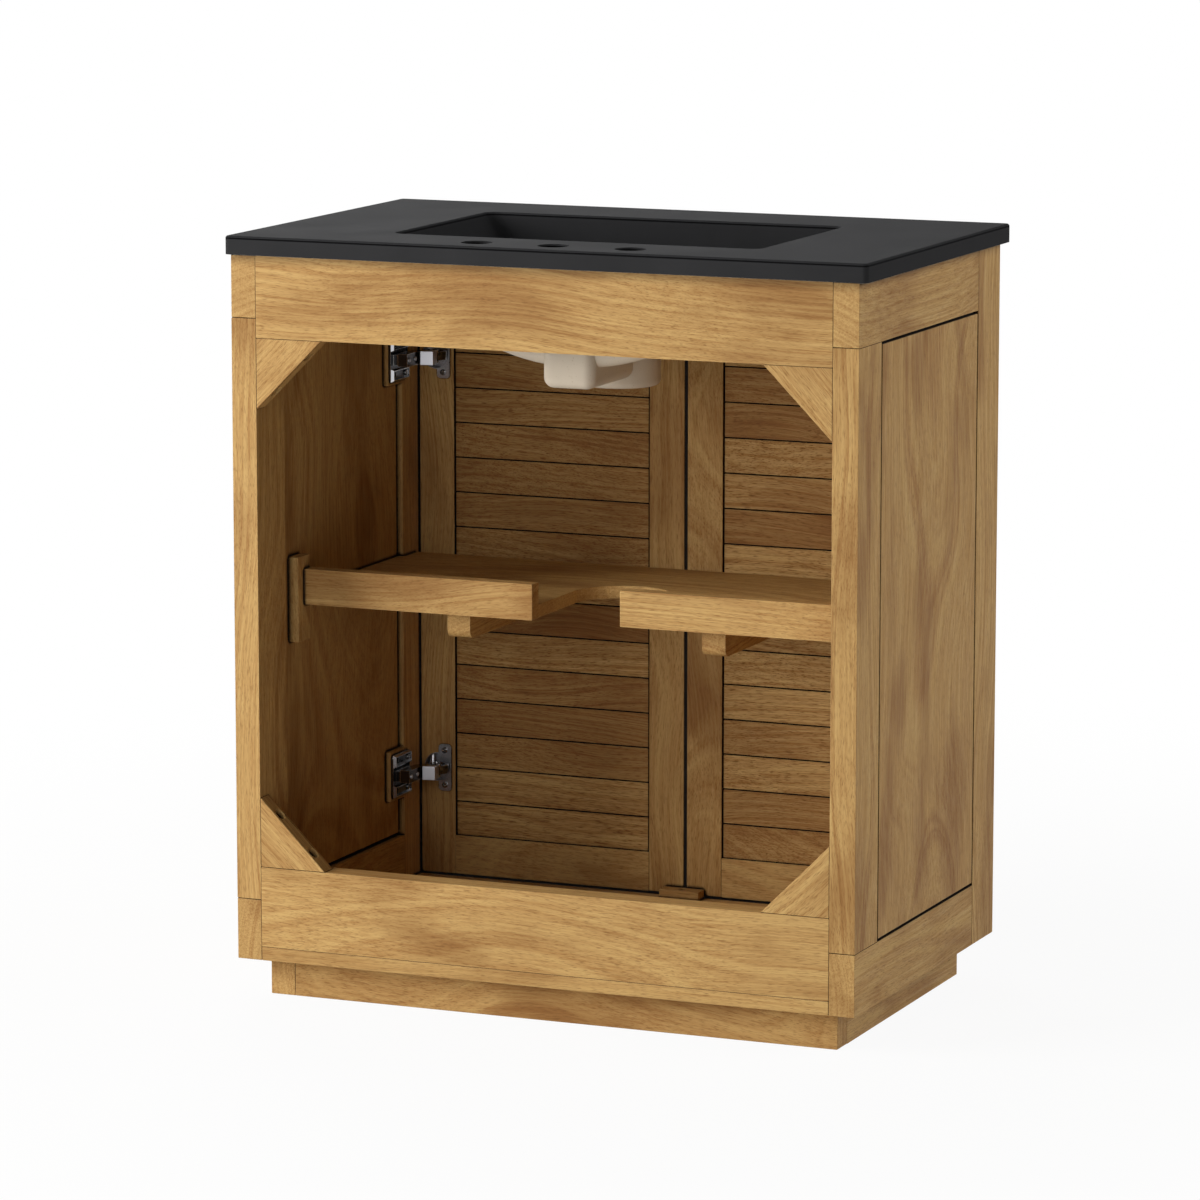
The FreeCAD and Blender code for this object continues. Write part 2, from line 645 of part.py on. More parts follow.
def hinge_cup(name):
    """The pressed cup with its two screw wings and the pin that the link turns on."""
    centre = "(door_side_gap + cup_edge_distance)"
    floor = "(door_thickness - cup_depth)"
    shell = rod(f"{name}_shell", "cup_radius", "cup_depth", (centre, floor, "0"), "y")
    wings = box(f"{name}_wings", ("wing_width", "wing_thickness", "wing_height"),
                (f"{centre} + wing_offset - wing_width/2", "door_thickness", "-wing_height/2"))
    wings = rounded(f"{name}_wings_rounded", wings, "hinge_corner", lambda edge: runs_along(edge, 1))
    mouth = rod(f"{name}_mouth", "cup_radius - cup_wall", "cup_depth + 2*wing_thickness",
                (centre, f"{floor} + cup_wall", "0"), "y")
    tools = [mouth]
    for number, end in enumerate((1, -1)):
        tools.append(rod(f"{name}_screw_hole_{number}", "screw_shank_radius", "2*wing_thickness",
                         (f"{centre} + wing_offset", "door_thickness", f"{end}*wing_screw_spacing/2"), "y"))
    pressed = cut(f"{name}_pressed", fuse(f"{name}_blank", [shell, wings]), tools)
    pin = rod(f"{name}_pin", "pin_radius", "cup_pin_length", ("cup_pin_x", "cup_pin_y", "-cup_pin_length/2"))
    return fuse(f"{name}_joined", [pressed, pin])


def hinge_link(name):
    """A half-round link between the arm's pin and the cup's pin."""
    across = "(sqrt((arm_pin_x - cup_pin_x)^2 + (arm_pin_y - cup_pin_y)^2)/2)"
    middle = ("(arm_pin_x + cup_pin_x)/2", "(arm_pin_y + cup_pin_y)/2", "-link_height/2")
    run = SIZES["arm_pin_x"] - SIZES["cup_pin_x"]
    rise = SIZES["arm_pin_y"] - SIZES["cup_pin_y"]
    outside = rod(f"{name}_outside", f"{across} + link_half_band", "link_height", middle)
    outside.Angle = 180
    to_cup = math.degrees(math.atan2(-rise, -run))
    outside.Placement.Rotation = FreeCAD.Rotation(FreeCAD.Vector(0, 0, 1), to_cup)
    inside = rod(f"{name}_inside", f"{across} - link_half_band", "link_height", middle)
    band = cut(f"{name}_band", outside, [inside])
    eyes = []
    holes = []
    for end in ("arm", "cup"):
        spot = (f"{end}_pin_x", f"{end}_pin_y", "-link_height/2")
        eyes.append(rod(f"{name}_{end}_eye", "link_eye_radius", "link_height", spot))
        holes.append(rod(f"{name}_{end}_hole", "pin_radius + pin_clearance", "link_height", spot))
    return cut(f"{name}_drilled", fuse(f"{name}_joined", [band] + eyes), holes)


def hinge_arm(name):
    """The cranked arm, forked at its nose around the link and pinned there."""
    outline = [
        ("arm_pin_x - arm_nose_radius", "arm_pin_y - pin_radius"),
        ("arm_pin_x + arm_nose_radius", "arm_pin_y + pin_radius"),
        ("ridge_height + ridge_width", "arm_bend"),
        ("ridge_height + ridge_width", "arm_tail"),
        ("ridge_height", "arm_tail"),
        ("ridge_height", "arm_heel"),
    ]
    bar = profile_body(f"{name}_bar", outline, "arm_height")
    put(bar, ("0", "0", "-arm_height/2"))
    nose = rod(f"{name}_nose", "arm_nose_radius", "arm_height", ("arm_pin_x", "arm_pin_y", "-arm_height/2"))
    slot = rod(f"{name}_slot", "fork_reach", "fork_slot", ("arm_pin_x", "arm_pin_y", "-fork_slot/2"))
    forked = cut(f"{name}_forked", fuse(f"{name}_blank", [bar, nose]), [slot])
    pin = rod(f"{name}_pin", "pin_radius", "arm_height", ("arm_pin_x", "arm_pin_y", "-arm_height/2"))
    return fuse(f"{name}_joined", [forked, pin])


def hinge_plate(name):
    """The mounting plate screwed to the front stile, with the ridge that carries the arm."""
    base = box(f"{name}_base", ("plate_thickness", "plate_width", "plate_height"),
               ("0", "plate_start", "-plate_height/2"))
    base = rounded(f"{name}_base_rounded", base, "hinge_corner", lambda edge: runs_along(edge, 0))
    ridge = box(f"{name}_ridge", ("ridge_height", "arm_tail - arm_heel", "ridge_width"),
                ("0", "arm_heel", "-ridge_width/2"))
    holes = []
    for number, end in enumerate((1, -1)):
        level = f"{end}*plate_screw_spacing/2"
        holes.append(rod(f"{name}_screw_hole_{number}", "screw_shank_radius", "ridge_height",
                         ("0", "plate_start + plate_screw_inset", level), "x"))
        holes.append(rod(f"{name}_eye_{number}", "plate_eye_radius", "ridge_height",
                         ("0", "plate_start + plate_width - plate_eye_inset", level), "x"))
    return cut(f"{name}_drilled", fuse(f"{name}_joined", [base, ridge]), holes)


def pan_screw(name, seat_at, along):
    """A pan-head screw whose head stands on a point and whose shank runs back from it."""
    tip = list(seat_at)
    tip["xyz".index(along)] += " - screw_shank_length"
    head = rod(f"{name}_head", "screw_head_radius", "screw_head_height", seat_at, along)
    shank = rod(f"{name}_shank", "screw_shank_radius", "screw_shank_length + screw_head_height/2", tip, along)
    return fuse(name, [head, shank])


def hinges():
    """Two concealed hinges for each door."""
    plate_screws = []
    for side in SIDES:
        plates = []
        cup_screws = []
        for place, height in HINGE_HEIGHTS.items():
            name = f"{place}_{side}_hinge"
            piece(seat(hinge_arm(f"{name}_arm_form"), side, height), f"{name}_arm")
            piece(seat(hinge_link(f"{name}_link_form"), side, height), f"{name}_link")
            piece(seat(hinge_cup(f"{name}_cup_form"), side, height), f"{name}_cup")
            plates.append(seat(hinge_plate(f"{name}_plate"), side, height))
            for number, end in enumerate((1, -1)):
                spot = ("plate_thickness", "plate_start + plate_screw_inset",
                        f"{end}*plate_screw_spacing/2")
                plate_screws.append(seat(pan_screw(f"{name}_plate_screw_{number}", spot, "x"), side, height))
                spot = ("door_side_gap + cup_edge_distance + wing_offset", "door_thickness + wing_thickness",
                        f"{end}*wing_screw_spacing/2")
                cup_screws.append(seat(pan_screw(f"{name}_cup_screw_{number}", spot, "y"), side, height))
        group(f"{side}_hinge_plates", plates)
        group(f"{side}_hinge_cup_screws", cup_screws)
    group("hinge_plate_screws", plate_screws)


def check_and_write():
    """Stops on any failed object or bad shape, then writes one STEP file for each sub-part."""
    doc.recompute()
    for thing in doc.Objects:
        if "Invalid" in thing.State or "Error" in thing.State:
            raise RuntimeError(f"{thing.Name} failed: {thing.State}")
    labels = [thing.Label for thing in pieces]
    if len(set(labels)) != len(labels):
        raise RuntimeError("two sub-parts share a label")
    for thing in pieces:
        if thing.Shape.isNull() or not thing.Shape.isValid() or not thing.Shape.Solids:
            raise RuntimeError(f"{thing.Label}: bad shape")
    os.makedirs("parts", exist_ok=True)
    for thing in pieces:
        thing.Shape.exportStep(os.path.join("parts", thing.Label + ".step"))
        volume = thing.Shape.Volume/1000
        print(f"{thing.Label}: {len(thing.Shape.Solids)} solids, {volume:.1f} cm3")
    print(len(pieces), "sub-parts")


ceramic_top()
for side_name, side_sign in SIDES.items():
    side_frame(side_name, side_sign)
cross_rails()
plinth()
gussets()
shelf()
door_stop()
for side_name, side_sign in SIDES.items():
    door(side_name, side_sign)
hinges()
check_and_write()
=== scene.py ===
"""The looks of a wooden vanity unit with a ceramic basin top, seen from its open back."""

import json
import math

import bmesh
import bpy
from bpy.props import FloatProperty, FloatVectorProperty, PointerProperty
from mathutils import Matrix, Vector

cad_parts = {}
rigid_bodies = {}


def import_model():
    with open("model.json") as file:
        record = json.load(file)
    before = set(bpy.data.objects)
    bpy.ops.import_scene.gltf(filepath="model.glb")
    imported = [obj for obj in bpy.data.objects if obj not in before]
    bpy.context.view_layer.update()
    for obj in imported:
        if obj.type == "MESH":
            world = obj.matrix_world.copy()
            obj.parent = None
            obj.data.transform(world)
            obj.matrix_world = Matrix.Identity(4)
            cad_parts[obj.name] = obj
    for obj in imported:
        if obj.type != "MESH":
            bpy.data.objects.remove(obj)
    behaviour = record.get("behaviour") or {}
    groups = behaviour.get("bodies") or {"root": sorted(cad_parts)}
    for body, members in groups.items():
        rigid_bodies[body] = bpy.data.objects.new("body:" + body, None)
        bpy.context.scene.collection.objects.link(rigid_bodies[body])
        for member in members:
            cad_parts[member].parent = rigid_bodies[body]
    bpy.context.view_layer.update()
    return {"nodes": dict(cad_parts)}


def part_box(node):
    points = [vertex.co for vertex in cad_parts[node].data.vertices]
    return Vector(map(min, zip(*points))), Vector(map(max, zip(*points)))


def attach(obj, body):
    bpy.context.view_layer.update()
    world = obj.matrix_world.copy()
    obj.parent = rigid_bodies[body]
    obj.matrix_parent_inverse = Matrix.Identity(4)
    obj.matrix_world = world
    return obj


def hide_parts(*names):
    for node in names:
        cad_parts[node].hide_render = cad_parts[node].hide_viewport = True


bl_info = {
    "name": "Vanity Unit",
    "version": (1, 0, 0),
    "blender": (4, 5, 0),
    "location": "View3D > Sidebar > Vanity",
    "description": "Finishes, small metalwork, studio and camera for a slatted wooden vanity",
    "category": "Object",
}

# The cube, lamp and camera of a new file would spoil the measured box.
for spare in list(bpy.data.objects):
    bpy.data.objects.remove(spare)
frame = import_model()
SOLIDS = frame["nodes"]
MM = 0.001


def lowest(node):
    """A solid's lowest corner, in millimetres."""
    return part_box(node)[0]/MM


def highest(node):
    """A solid's highest corner, in millimetres."""
    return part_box(node)[1]/MM


def middle(node):
    """The middle of a solid's box, in millimetres."""
    return (lowest(node) + highest(node))/2


# Levels and planes of the solids, in millimetres
SLAB_TOP = highest("vanity_top").z
SLAB_BASE = highest("back_top_rail").z
INNER_FACE = lowest("right_rear_stile").x
DOOR_FRONT = lowest("right_door_hinge_stile").y
DOOR_RAIL = highest("right_door_top_rail").z - lowest("right_door_top_rail").z
SLATS_PER_DOOR = 16
SLAT_START = lowest("right_door_bottom_rail").z + DOOR_RAIL
SLAT_PITCH = (lowest("right_door_top_rail").z - SLAT_START)/SLATS_PER_DOOR
HINGE_HEIGHTS = {place: middle(f"{place}_right_hinge_cup").z for place in ("upper", "lower")}
# The side on +X is the right-hand one for a person facing the doors.
HANDS = {"right": 1, "left": -1}

# Boards by the way their grain runs, as turns that bring the grain onto X
ALONG_WIDTH = (0, 0, 0)
ALONG_DEPTH = (0, 0, -math.pi/2)
UPRIGHT = (0, math.pi/2, 0)
FALLING = (0, -math.pi/4, 0)
RISING = (0, math.pi/4, 0)
BOARD_GRAIN = {
    "back_top_rail": ALONG_WIDTH,
    "back_bottom_rail": ALONG_WIDTH,
    "front_top_rail": ALONG_WIDTH,
    "bottom_board": ALONG_WIDTH,
    "plinth_front": ALONG_WIDTH,
    "plinth_back": ALONG_WIDTH,
    "plinth_left": ALONG_DEPTH,
    "plinth_right": ALONG_DEPTH,
    "shelf_board": ALONG_WIDTH,
    "door_stop_block": ALONG_WIDTH,
    "upper_right_gusset": FALLING,
    "lower_left_gusset": FALLING,
    "upper_left_gusset": RISING,
    "lower_right_gusset": RISING,
}
for hand in HANDS:
    for board in ("front_stile", "rear_stile", "side_panel", "shelf_cleat", "door_hinge_stile",
                  "door_meeting_stile"):
        BOARD_GRAIN[f"{hand}_{board}"] = UPRIGHT
    for board in ("side_top_rail", "side_bottom_rail", "shelf_joist"):
        BOARD_GRAIN[f"{hand}_{board}"] = ALONG_DEPTH
    for board in ("shelf_lip", "door_top_rail", "door_bottom_rail", "door_slats"):
        BOARD_GRAIN[f"{hand}_{board}"] = ALONG_WIDTH

# Where the boards lay in the log: how far their places spread, and from where, in metres along and across it
LOG_SPREAD = (6.0, 0.08, 0.04)
LOG_START = (-3.0, -0.12, -0.10)
# Share of the length that counts in the distance from the heart, so that the lines close slowly
LOG_TAPER = 0.02
# Steps of the random draw from board to board and from slat to slat
BOARD_STEP = 91.7
ROW_STEP = 7.31
# Where the brown of late wood starts and is full, and the shares of pores, clouds and each board's own tone
BOARD_MARKS = {"late_start": 0.52, "late_full": 1.5, "pores": 0.6, "clouds": 0.5, "tone": 0.25}
SLAT_MARKS = {"late_start": 0.6, "late_full": 1.3, "pores": 0.95, "clouds": 0.3, "tone": 0.6}
# Rubbed corners, the reach of the painted shade in joints, gaps and inner corners, the plinth's foot that it
# leaves out, and the painted shadow band under the slab, in millimetres
WORN_WIDTH = 1.5
JOINT_REACH = 5.5
FOOT_START = 2
FOOT_END = 8
SLAB_SHADE = 14

# Trough basin, overflow hole and the painted shade line below the slab's top edge, in millimetres
BASIN_WIDTH = 440
BASIN_DEPTH = 264
BASIN_DROP = 129
BASIN_WALL = 12
BASIN_MIDDLE = 5
TROUGH_RADIUS = ((BASIN_WIDTH/2)**2 + BASIN_DROP**2)/(2*BASIN_DROP)
TROUGH_AXIS = SLAB_TOP - BASIN_DROP + TROUGH_RADIUS
OVERFLOW_DROP = 42
OVERFLOW_RADIUS = 11
OVERFLOW_MIDDLE = 146
OVERFLOW_LENGTH = 18
GLAZE_MARGIN = 0.5
GLAZE_START = SLAB_BASE + 0.05
ARRIS_SHADE_DROP = 2.8
ARRIS_SHADE_WIDTH = 1.8

# Corners of the metal painted brighter, partly worn and partly painted highlight, in millimetres
RUBBED_HIGHLIGHT_WIDTH = 1.2
# A hinge's own millimetres: across from the stile's face, back from the door's front, up from its middle
COVER_TAIL = (23, 66)
COVER_SHOULDER = 62
COVER_NOSE = (36.5, 46.9)
ARM_FACE = 20
# How far back the adjusting screws stand, each with the turn of its recess in degrees
ADJUSTER_TURNS = {73: 292, 90: 360}
# The rims of a plate's wings, and their section's corners as heights and distances inside the outline
RIM_NEAR = 56.4
RIM_FAR = 102.6
RIM_LEVELS = ((10.5, 25.6), (-25.6, -10.5))
RIM_SECTION = ((2.2, 0), (5.8, 1.6), (5.8, 2.4), (2.2, 2.4))
# Where a hinge's screws stand: across, back, and up or down
PLATE_SCREWS = (2.5, 62, 18)
CUP_SCREWS = (33.5, 23.5, 21)

# Gussets and screws, in millimetres
GUSSET_LEG = highest("upper_right_gusset").z - lowest("upper_right_gusset").z
GUSSET_SCREW_OFFSET = 29
COUNTERBORE_DEPTH = 9
# Each screw's head radius, head height, shank radius and shank length
ADJUSTING_SCREW = (2.6, 1.4, 1.5, 4)
SMALL_SCREW = (3.6, 2, 1.6, 11)
GUSSET_SCREW = (4.4, 2.2, 1.9, 33)
# Turns of the recesses in a set of screws, in radians, so that no two stand alike
FIRST_TURN = 0.3
TURN_STEP = 0.7

# Points this near are one, in millimetres, and edges sharper than these angles are eased or kept sharp
WELD_REACH = 0.01
EASED_ANGLE = math.radians(50)
SHARP_ANGLE = math.radians(35)

# Square soft lamps, each with its place and width in metres
LAMPS = {
    "key": ((3.3, 2.7, 2.1), 3.0),
    "low": ((0.3, 5.0, 1.3), 2.0),
    "front": ((2.2, -3.2, 2.4), 2.4),
    "side": ((-3.4, -0.9, 1.9), 2.0),
}
LAMP_AIM = Vector((0, 0, 0.45))
# The camera's place in metres, its angles in degrees and its sensor in millimetres
CAMERA_PLACE = (-2.4665, 5.8983, 1.5140)
CAMERA_TILT = 9.503
CAMERA_TURN = 22.909
SENSOR_WIDTH = 36
# The floor's half width, and how far from its middle the paint starts and stops fading to white, in metres
FLOOR_HALF = 40
FADE_START = 0.5
FADE_END = 2.0

# Settings and sockets that many nodes share
SMOOTH = {"interpolation_type": "SMOOTHSTEP"}
COLOURS = {"data_type": "RGBA"}
# A mix's colour sockets have the same names as its number sockets, so they go by their order.
SHARE, UNDER, OVER, MIXED = 0, 6, 7, 2
WHITE = (1, 1, 1, 1)


def linear(code):
    """Turns an sRGB hex colour into linear red, green and blue."""
    channels = [int(code[place:place + 2], 16)/255 for place in (1, 3, 5)]
    return tuple(c/12.92 if c <= 0.04045 else ((c + 0.055)/1.055)**2.4 for c in channels)


def opaque(colour):
    """A linear colour with its alpha."""
    return (*colour[:3], 1)


def add(tree, kind, settings, inputs):
    """Adds a node, sets its own settings, and links or sets its inputs."""
    node = tree.nodes.new(kind)
    for name, value in settings.items():
        setattr(node, name, value)
    for socket, value in inputs.items():
        if isinstance(value, bpy.types.NodeSocket):
            tree.links.new(value, node.inputs[socket])
        else:
            node.inputs[socket].default_value = value
    return node


def new_material(name):
    """An empty node material and its tree."""
    material = bpy.data.materials.new(name)
    material.use_nodes = True
    material.node_tree.nodes.clear()
    return material, material.node_tree


def edge_wear_and_highlight(tree, radius):
    """A mask that is 1 on rounded-over corners and 0 on flats."""
    soft = add(tree, "ShaderNodeBevel", {"samples": 4}, {"Radius": radius})
    flat = add(tree, "ShaderNodeNewGeometry", {}, {})
    match = add(tree, "ShaderNodeVectorMath", {"operation": "DOT_PRODUCT"},
                {0: soft.outputs["Normal"], 1: flat.outputs["Normal"]})
    mask = add(tree, "ShaderNodeMapRange", {},
               {"Value": match.outputs["Value"], "From Min": 0.995, "From Max": 0.85})
    return mask.outputs["Result"]


def drawn_out(tree, spot, length, width, detail, roughness, axis=0):
    """A random pattern drawn out along an axis, by its length and width in millimetres."""
    scale = [1/(width*MM)]*3
    scale[axis] = 1/(length*MM)
    stretched = add(tree, "ShaderNodeMapping", {}, {"Vector": spot, "Scale": scale}).outputs[0]
    return add(tree, "ShaderNodeTexNoise", {},
               {"Vector": stretched, "Scale": 1, "Detail": detail, "Roughness": roughness}).outputs


def board_chance(tree, place, rows):
    """Random outputs of each board's own, or of each slat's own where slats lie in rows."""
    board = add(tree, "ShaderNodeObjectInfo", {}, {}).outputs["Random"]
    seed = add(tree, "ShaderNodeMath", {"operation": "MULTIPLY"}, {0: board, 1: BOARD_STEP}).outputs[0]
    if rows:
        height = add(tree, "ShaderNodeSeparateXYZ", {}, {"Vector": place}).outputs["Z"]
        row = add(tree, "ShaderNodeMath", {"operation": "SUBTRACT"},
                  {0: height, 1: SLAT_START*MM}).outputs[0]
        row = add(tree, "ShaderNodeMath", {"operation": "DIVIDE"}, {0: row, 1: SLAT_PITCH*MM}).outputs[0]
        row = add(tree, "ShaderNodeMath", {"operation": "FLOOR"}, {0: row}).outputs[0]
        seed = add(tree, "ShaderNodeMath", {"operation": "MULTIPLY_ADD"},
                   {0: row, 1: ROW_STEP, 2: seed}).outputs[0]
    return add(tree, "ShaderNodeTexWhiteNoise", {"noise_dimensions": "1D"}, {"W": seed}).outputs


def spot_in_log(tree, place, turn, chance, figure):
    """Where each point of a board lay in the log, with the grain along X.

    The heart wanders over some 450 mm of length, more in some boards, and opens the lines into arches.
    """
    shift = add(tree, "ShaderNodeVectorMath", {"operation": "MULTIPLY_ADD"},
                {0: chance["Color"], 1: LOG_SPREAD, 2: LOG_START}).outputs[0]
    grain = add(tree, "ShaderNodeMapping", {}, {"Vector": place, "Rotation": turn}).outputs[0]
    straight = add(tree, "ShaderNodeVectorMath", {"operation": "ADD"}, {0: grain, 1: shift}).outputs[0]
    wander = drawn_out(tree, straight, 454.5, 333.3, detail=1, roughness=0.4)["Color"]
    reach = add(tree, "ShaderNodeMapRange", {},
                {"Value": chance["Value"], "To Min": 0.2*figure, "To Max": figure}).outputs["Result"]
    drift = add(tree, "ShaderNodeVectorMath", {"operation": "SCALE"}, {0: wander, "Scale": reach}).outputs[0]
    return add(tree, "ShaderNodeVectorMath", {"operation": "ADD"}, {0: drift, 1: straight}).outputs[0]


def growth_lines(tree, spot, spacing):
    """Lines round the log's heart at their spacing, with hairlines down to an eighth of it between them."""
    off_heart = add(tree, "ShaderNodeVectorMath", {"operation": "MULTIPLY"},
                    {0: spot, 1: (LOG_TAPER, 1, 1)}).outputs[0]
    radius = add(tree, "ShaderNodeVectorMath", {"operation": "LENGTH"}, {0: off_heart}).outputs["Value"]
    ring = add(tree, "ShaderNodeMath", {"operation": "DIVIDE"}, {0: radius, 1: spacing}).outputs[0]
    return add(tree, "ShaderNodeTexNoise", {"noise_dimensions": "1D"},
               {"W": ring, "Scale": 1, "Detail": 3, "Roughness": 0.75}).outputs["Fac"]


def heartwood(tree, spot, chance, marks):
    """A share of darker heartwood: clouds 200 mm long and 70 mm wide, over each board's own tone."""
    cloud = drawn_out(tree, spot, 200, 70, detail=3, roughness=0.5)["Fac"]
    cloud = add(tree, "ShaderNodeMapRange", SMOOTH,
                {"Value": cloud, "From Min": 0.45, "From Max": 0.7}).outputs["Result"]
    tone = add(tree, "ShaderNodeMapRange", {},
               {"Value": chance["Value"], "From Min": 0.3, "From Max": 1.0, "To Max": marks["tone"]})
    return add(tree, "ShaderNodeMath", {"operation": "MULTIPLY_ADD", "use_clamp": True},
               {0: cloud, 1: marks["clouds"], 2: tone.outputs["Result"]}).outputs[0]


def joint_shade(tree, place):
    """A mask of painted shade in joints, gaps and inner corners, and of a painted shadow band under the
    slab.

    The painted shade leaves out the plinth's foot where it stands on the floor.
    """
    # Painted shade: boards are darkened where little open room lies round them, in joints, gaps and inner
    # corners.
    room = add(tree, "ShaderNodeAmbientOcclusion", {"samples": 8}, {"Distance": JOINT_REACH*MM})
    gap = add(tree, "ShaderNodeMapRange", SMOOTH,
              {"Value": room.outputs["AO"], "From Min": 0.92, "From Max": 0.63})
    height = add(tree, "ShaderNodeSeparateXYZ", {}, {"Vector": place}).outputs["Z"]
    clear = add(tree, "ShaderNodeMapRange", {},
                {"Value": height, "From Min": FOOT_START*MM, "From Max": FOOT_END*MM})
    joint = add(tree, "ShaderNodeMath", {"operation": "MULTIPLY"},
                {0: gap.outputs["Result"], 1: clear.outputs["Result"]})
    # A painted shadow darkens the boards in a band under the slab.
    under = add(tree, "ShaderNodeMapRange", SMOOTH,
                {"Value": height, "From Min": (SLAB_BASE - SLAB_SHADE)*MM, "From Max": SLAB_BASE*MM,
                 "To Max": 0.5})
    return add(tree, "ShaderNodeMath", {"operation": "MAXIMUM"},
               {0: joint.outputs[0], 1: under.outputs["Result"]}).outputs[0]


def oiled_teak(name, looks, turn, rows=False):
    """Plain-sawn teak, planed and oiled: thin growth lines that open into arches, and short dark pores.

    The oil leaves a soft satin that is duller along the fibres. Painted shade darkens and dulls the joints,
    gaps, inner corners and a band under the slab.
    """
    material, tree = new_material(name)
    marks = SLAT_MARKS if rows else BOARD_MARKS
    place = add(tree, "ShaderNodeTexCoord", {}, {}).outputs["Object"]
    chance = board_chance(tree, place, rows)
    spot = spot_in_log(tree, place, turn, chance, looks.figure)
    line = growth_lines(tree, spot, looks.ring_spacing)
    # Fibre streaks 2.5 mm wide and 200 mm long.
    streak = drawn_out(tree, spot, 200, 2.5, detail=2, roughness=0.6)["Fac"]
    late = add(tree, "ShaderNodeMath", {"operation": "MULTIPLY_ADD"},
               {0: line, 1: 0.9, 2: streak}).outputs[0]
    late = add(tree, "ShaderNodeMapRange", SMOOTH,
               {"Value": late, "From Min": marks["late_start"],
                "From Max": marks["late_full"]}).outputs["Result"]
    # Pores are a quarter of a millimetre wide in the wood, and drawn 0.6 mm wide and 11 mm long to show.
    speck = drawn_out(tree, spot, 11, 0.6, detail=1, roughness=0.5)["Fac"]
    speck = add(tree, "ShaderNodeMath", {"operation": "MULTIPLY_ADD"},
                {0: late, 1: 0.1, 2: speck}).outputs[0]
    pore = add(tree, "ShaderNodeMapRange", SMOOTH,
               {"Value": speck, "From Min": 0.55, "From Max": 0.76}).outputs["Result"]
    dark = add(tree, "ShaderNodeMath", {"operation": "MULTIPLY"}, {0: pore, 1: marks["pores"]}).outputs[0]
    worn = add(tree, "ShaderNodeMath", {"operation": "MULTIPLY"},
               {0: edge_wear_and_highlight(tree, WORN_WIDTH*MM), 1: 0.25}).outputs[0]
    shade = joint_shade(tree, place)
    # Layers over the pale early wood: how each one blends, where it lies and its tint; the last one is
    # painted shade.
    colour = opaque(looks.early_wood)
    for blend, share, tint in (("MIX", late, looks.late_wood),
                               ("MULTIPLY", heartwood(tree, spot, chance, marks), looks.heart_stain),
                               ("MIX", dark, looks.pore),
                               ("MIX", worn, looks.worn_edge),
                               ("MIX", shade, looks.joint)):
        colour = add(tree, "ShaderNodeMix", {**COLOURS, "blend_type": blend},
                     {SHARE: share, UNDER: colour, OVER: opaque(tint)}).outputs[MIXED]
    satin = add(tree, "ShaderNodeMapRange", {},
                {"Value": streak, "From Min": 0.3, "From Max": 0.7, "To Min": 0.5, "To Max": 0.66})
    satin = add(tree, "ShaderNodeMath", {"operation": "MAXIMUM"},
                {0: satin.outputs["Result"], 1: shade}).outputs[0]
    relief = add(tree, "ShaderNodeMath", {"operation": "SUBTRACT"}, {0: line, 1: pore}).outputs[0]
    bump = add(tree, "ShaderNodeBump", {}, {"Strength": 0.3, "Distance": 0.2*MM, "Height": relief})
    finish = add(tree, "ShaderNodeBsdfPrincipled", {},
                 {"Base Color": colour, "Roughness": satin, "IOR": 1.47, "Specular IOR Level": 0.14,
                  "Normal": bump.outputs["Normal"]})
    add(tree, "ShaderNodeOutputMaterial", {}, {"Surface": finish.outputs[0]})
    return material


def inside_tube(tree, place, depth, axis, radius, centre, length):
    """A mask of the inside of a round tube along Y, by its axis height, radius, centre and length in mm."""
    off_axis = add(tree, "ShaderNodeVectorMath", {"operation": "MULTIPLY_ADD"},
                   {0: place, 1: (1, 0, 1), 2: (0, 0, -axis*MM)}).outputs[0]
    away = add(tree, "ShaderNodeVectorMath", {"operation": "LENGTH"}, {0: off_axis}).outputs["Value"]
    near = add(tree, "ShaderNodeMath", {"operation": "LESS_THAN"}, {0: away, 1: radius*MM}).outputs[0]
    within = add(tree, "ShaderNodeMath", {"operation": "COMPARE"},
                 {0: depth, 1: centre*MM, 2: length/2*MM}).outputs[0]
    return add(tree, "ShaderNodeMath", {"operation": "MULTIPLY"}, {0: near, 1: within}).outputs[0]


def glazed_area(tree, place, axes):
    """A mask that is 1 on the slab above its base, in the trough and in the overflow hole."""
    on_slab = add(tree, "ShaderNodeMath", {"operation": "GREATER_THAN"},
                  {0: axes["Z"], 1: GLAZE_START*MM}).outputs[0]
    # The edge of the trough's glaze lies inside its wall, half way through.
    in_trough = inside_tube(tree, place, axes["Y"], TROUGH_AXIS, TROUGH_RADIUS + BASIN_WALL/2,
                            BASIN_MIDDLE, BASIN_DEPTH + BASIN_WALL)
    in_hole = inside_tube(tree, place, axes["Y"], SLAB_TOP - OVERFLOW_DROP,
                          OVERFLOW_RADIUS + GLAZE_MARGIN, OVERFLOW_MIDDLE, OVERFLOW_LENGTH)
    basin = add(tree, "ShaderNodeMath", {"operation": "MAXIMUM"}, {0: in_trough, 1: in_hole}).outputs[0]
    return add(tree, "ShaderNodeMath", {"operation": "MAXIMUM"}, {0: on_slab, 1: basin}).outputs[0]


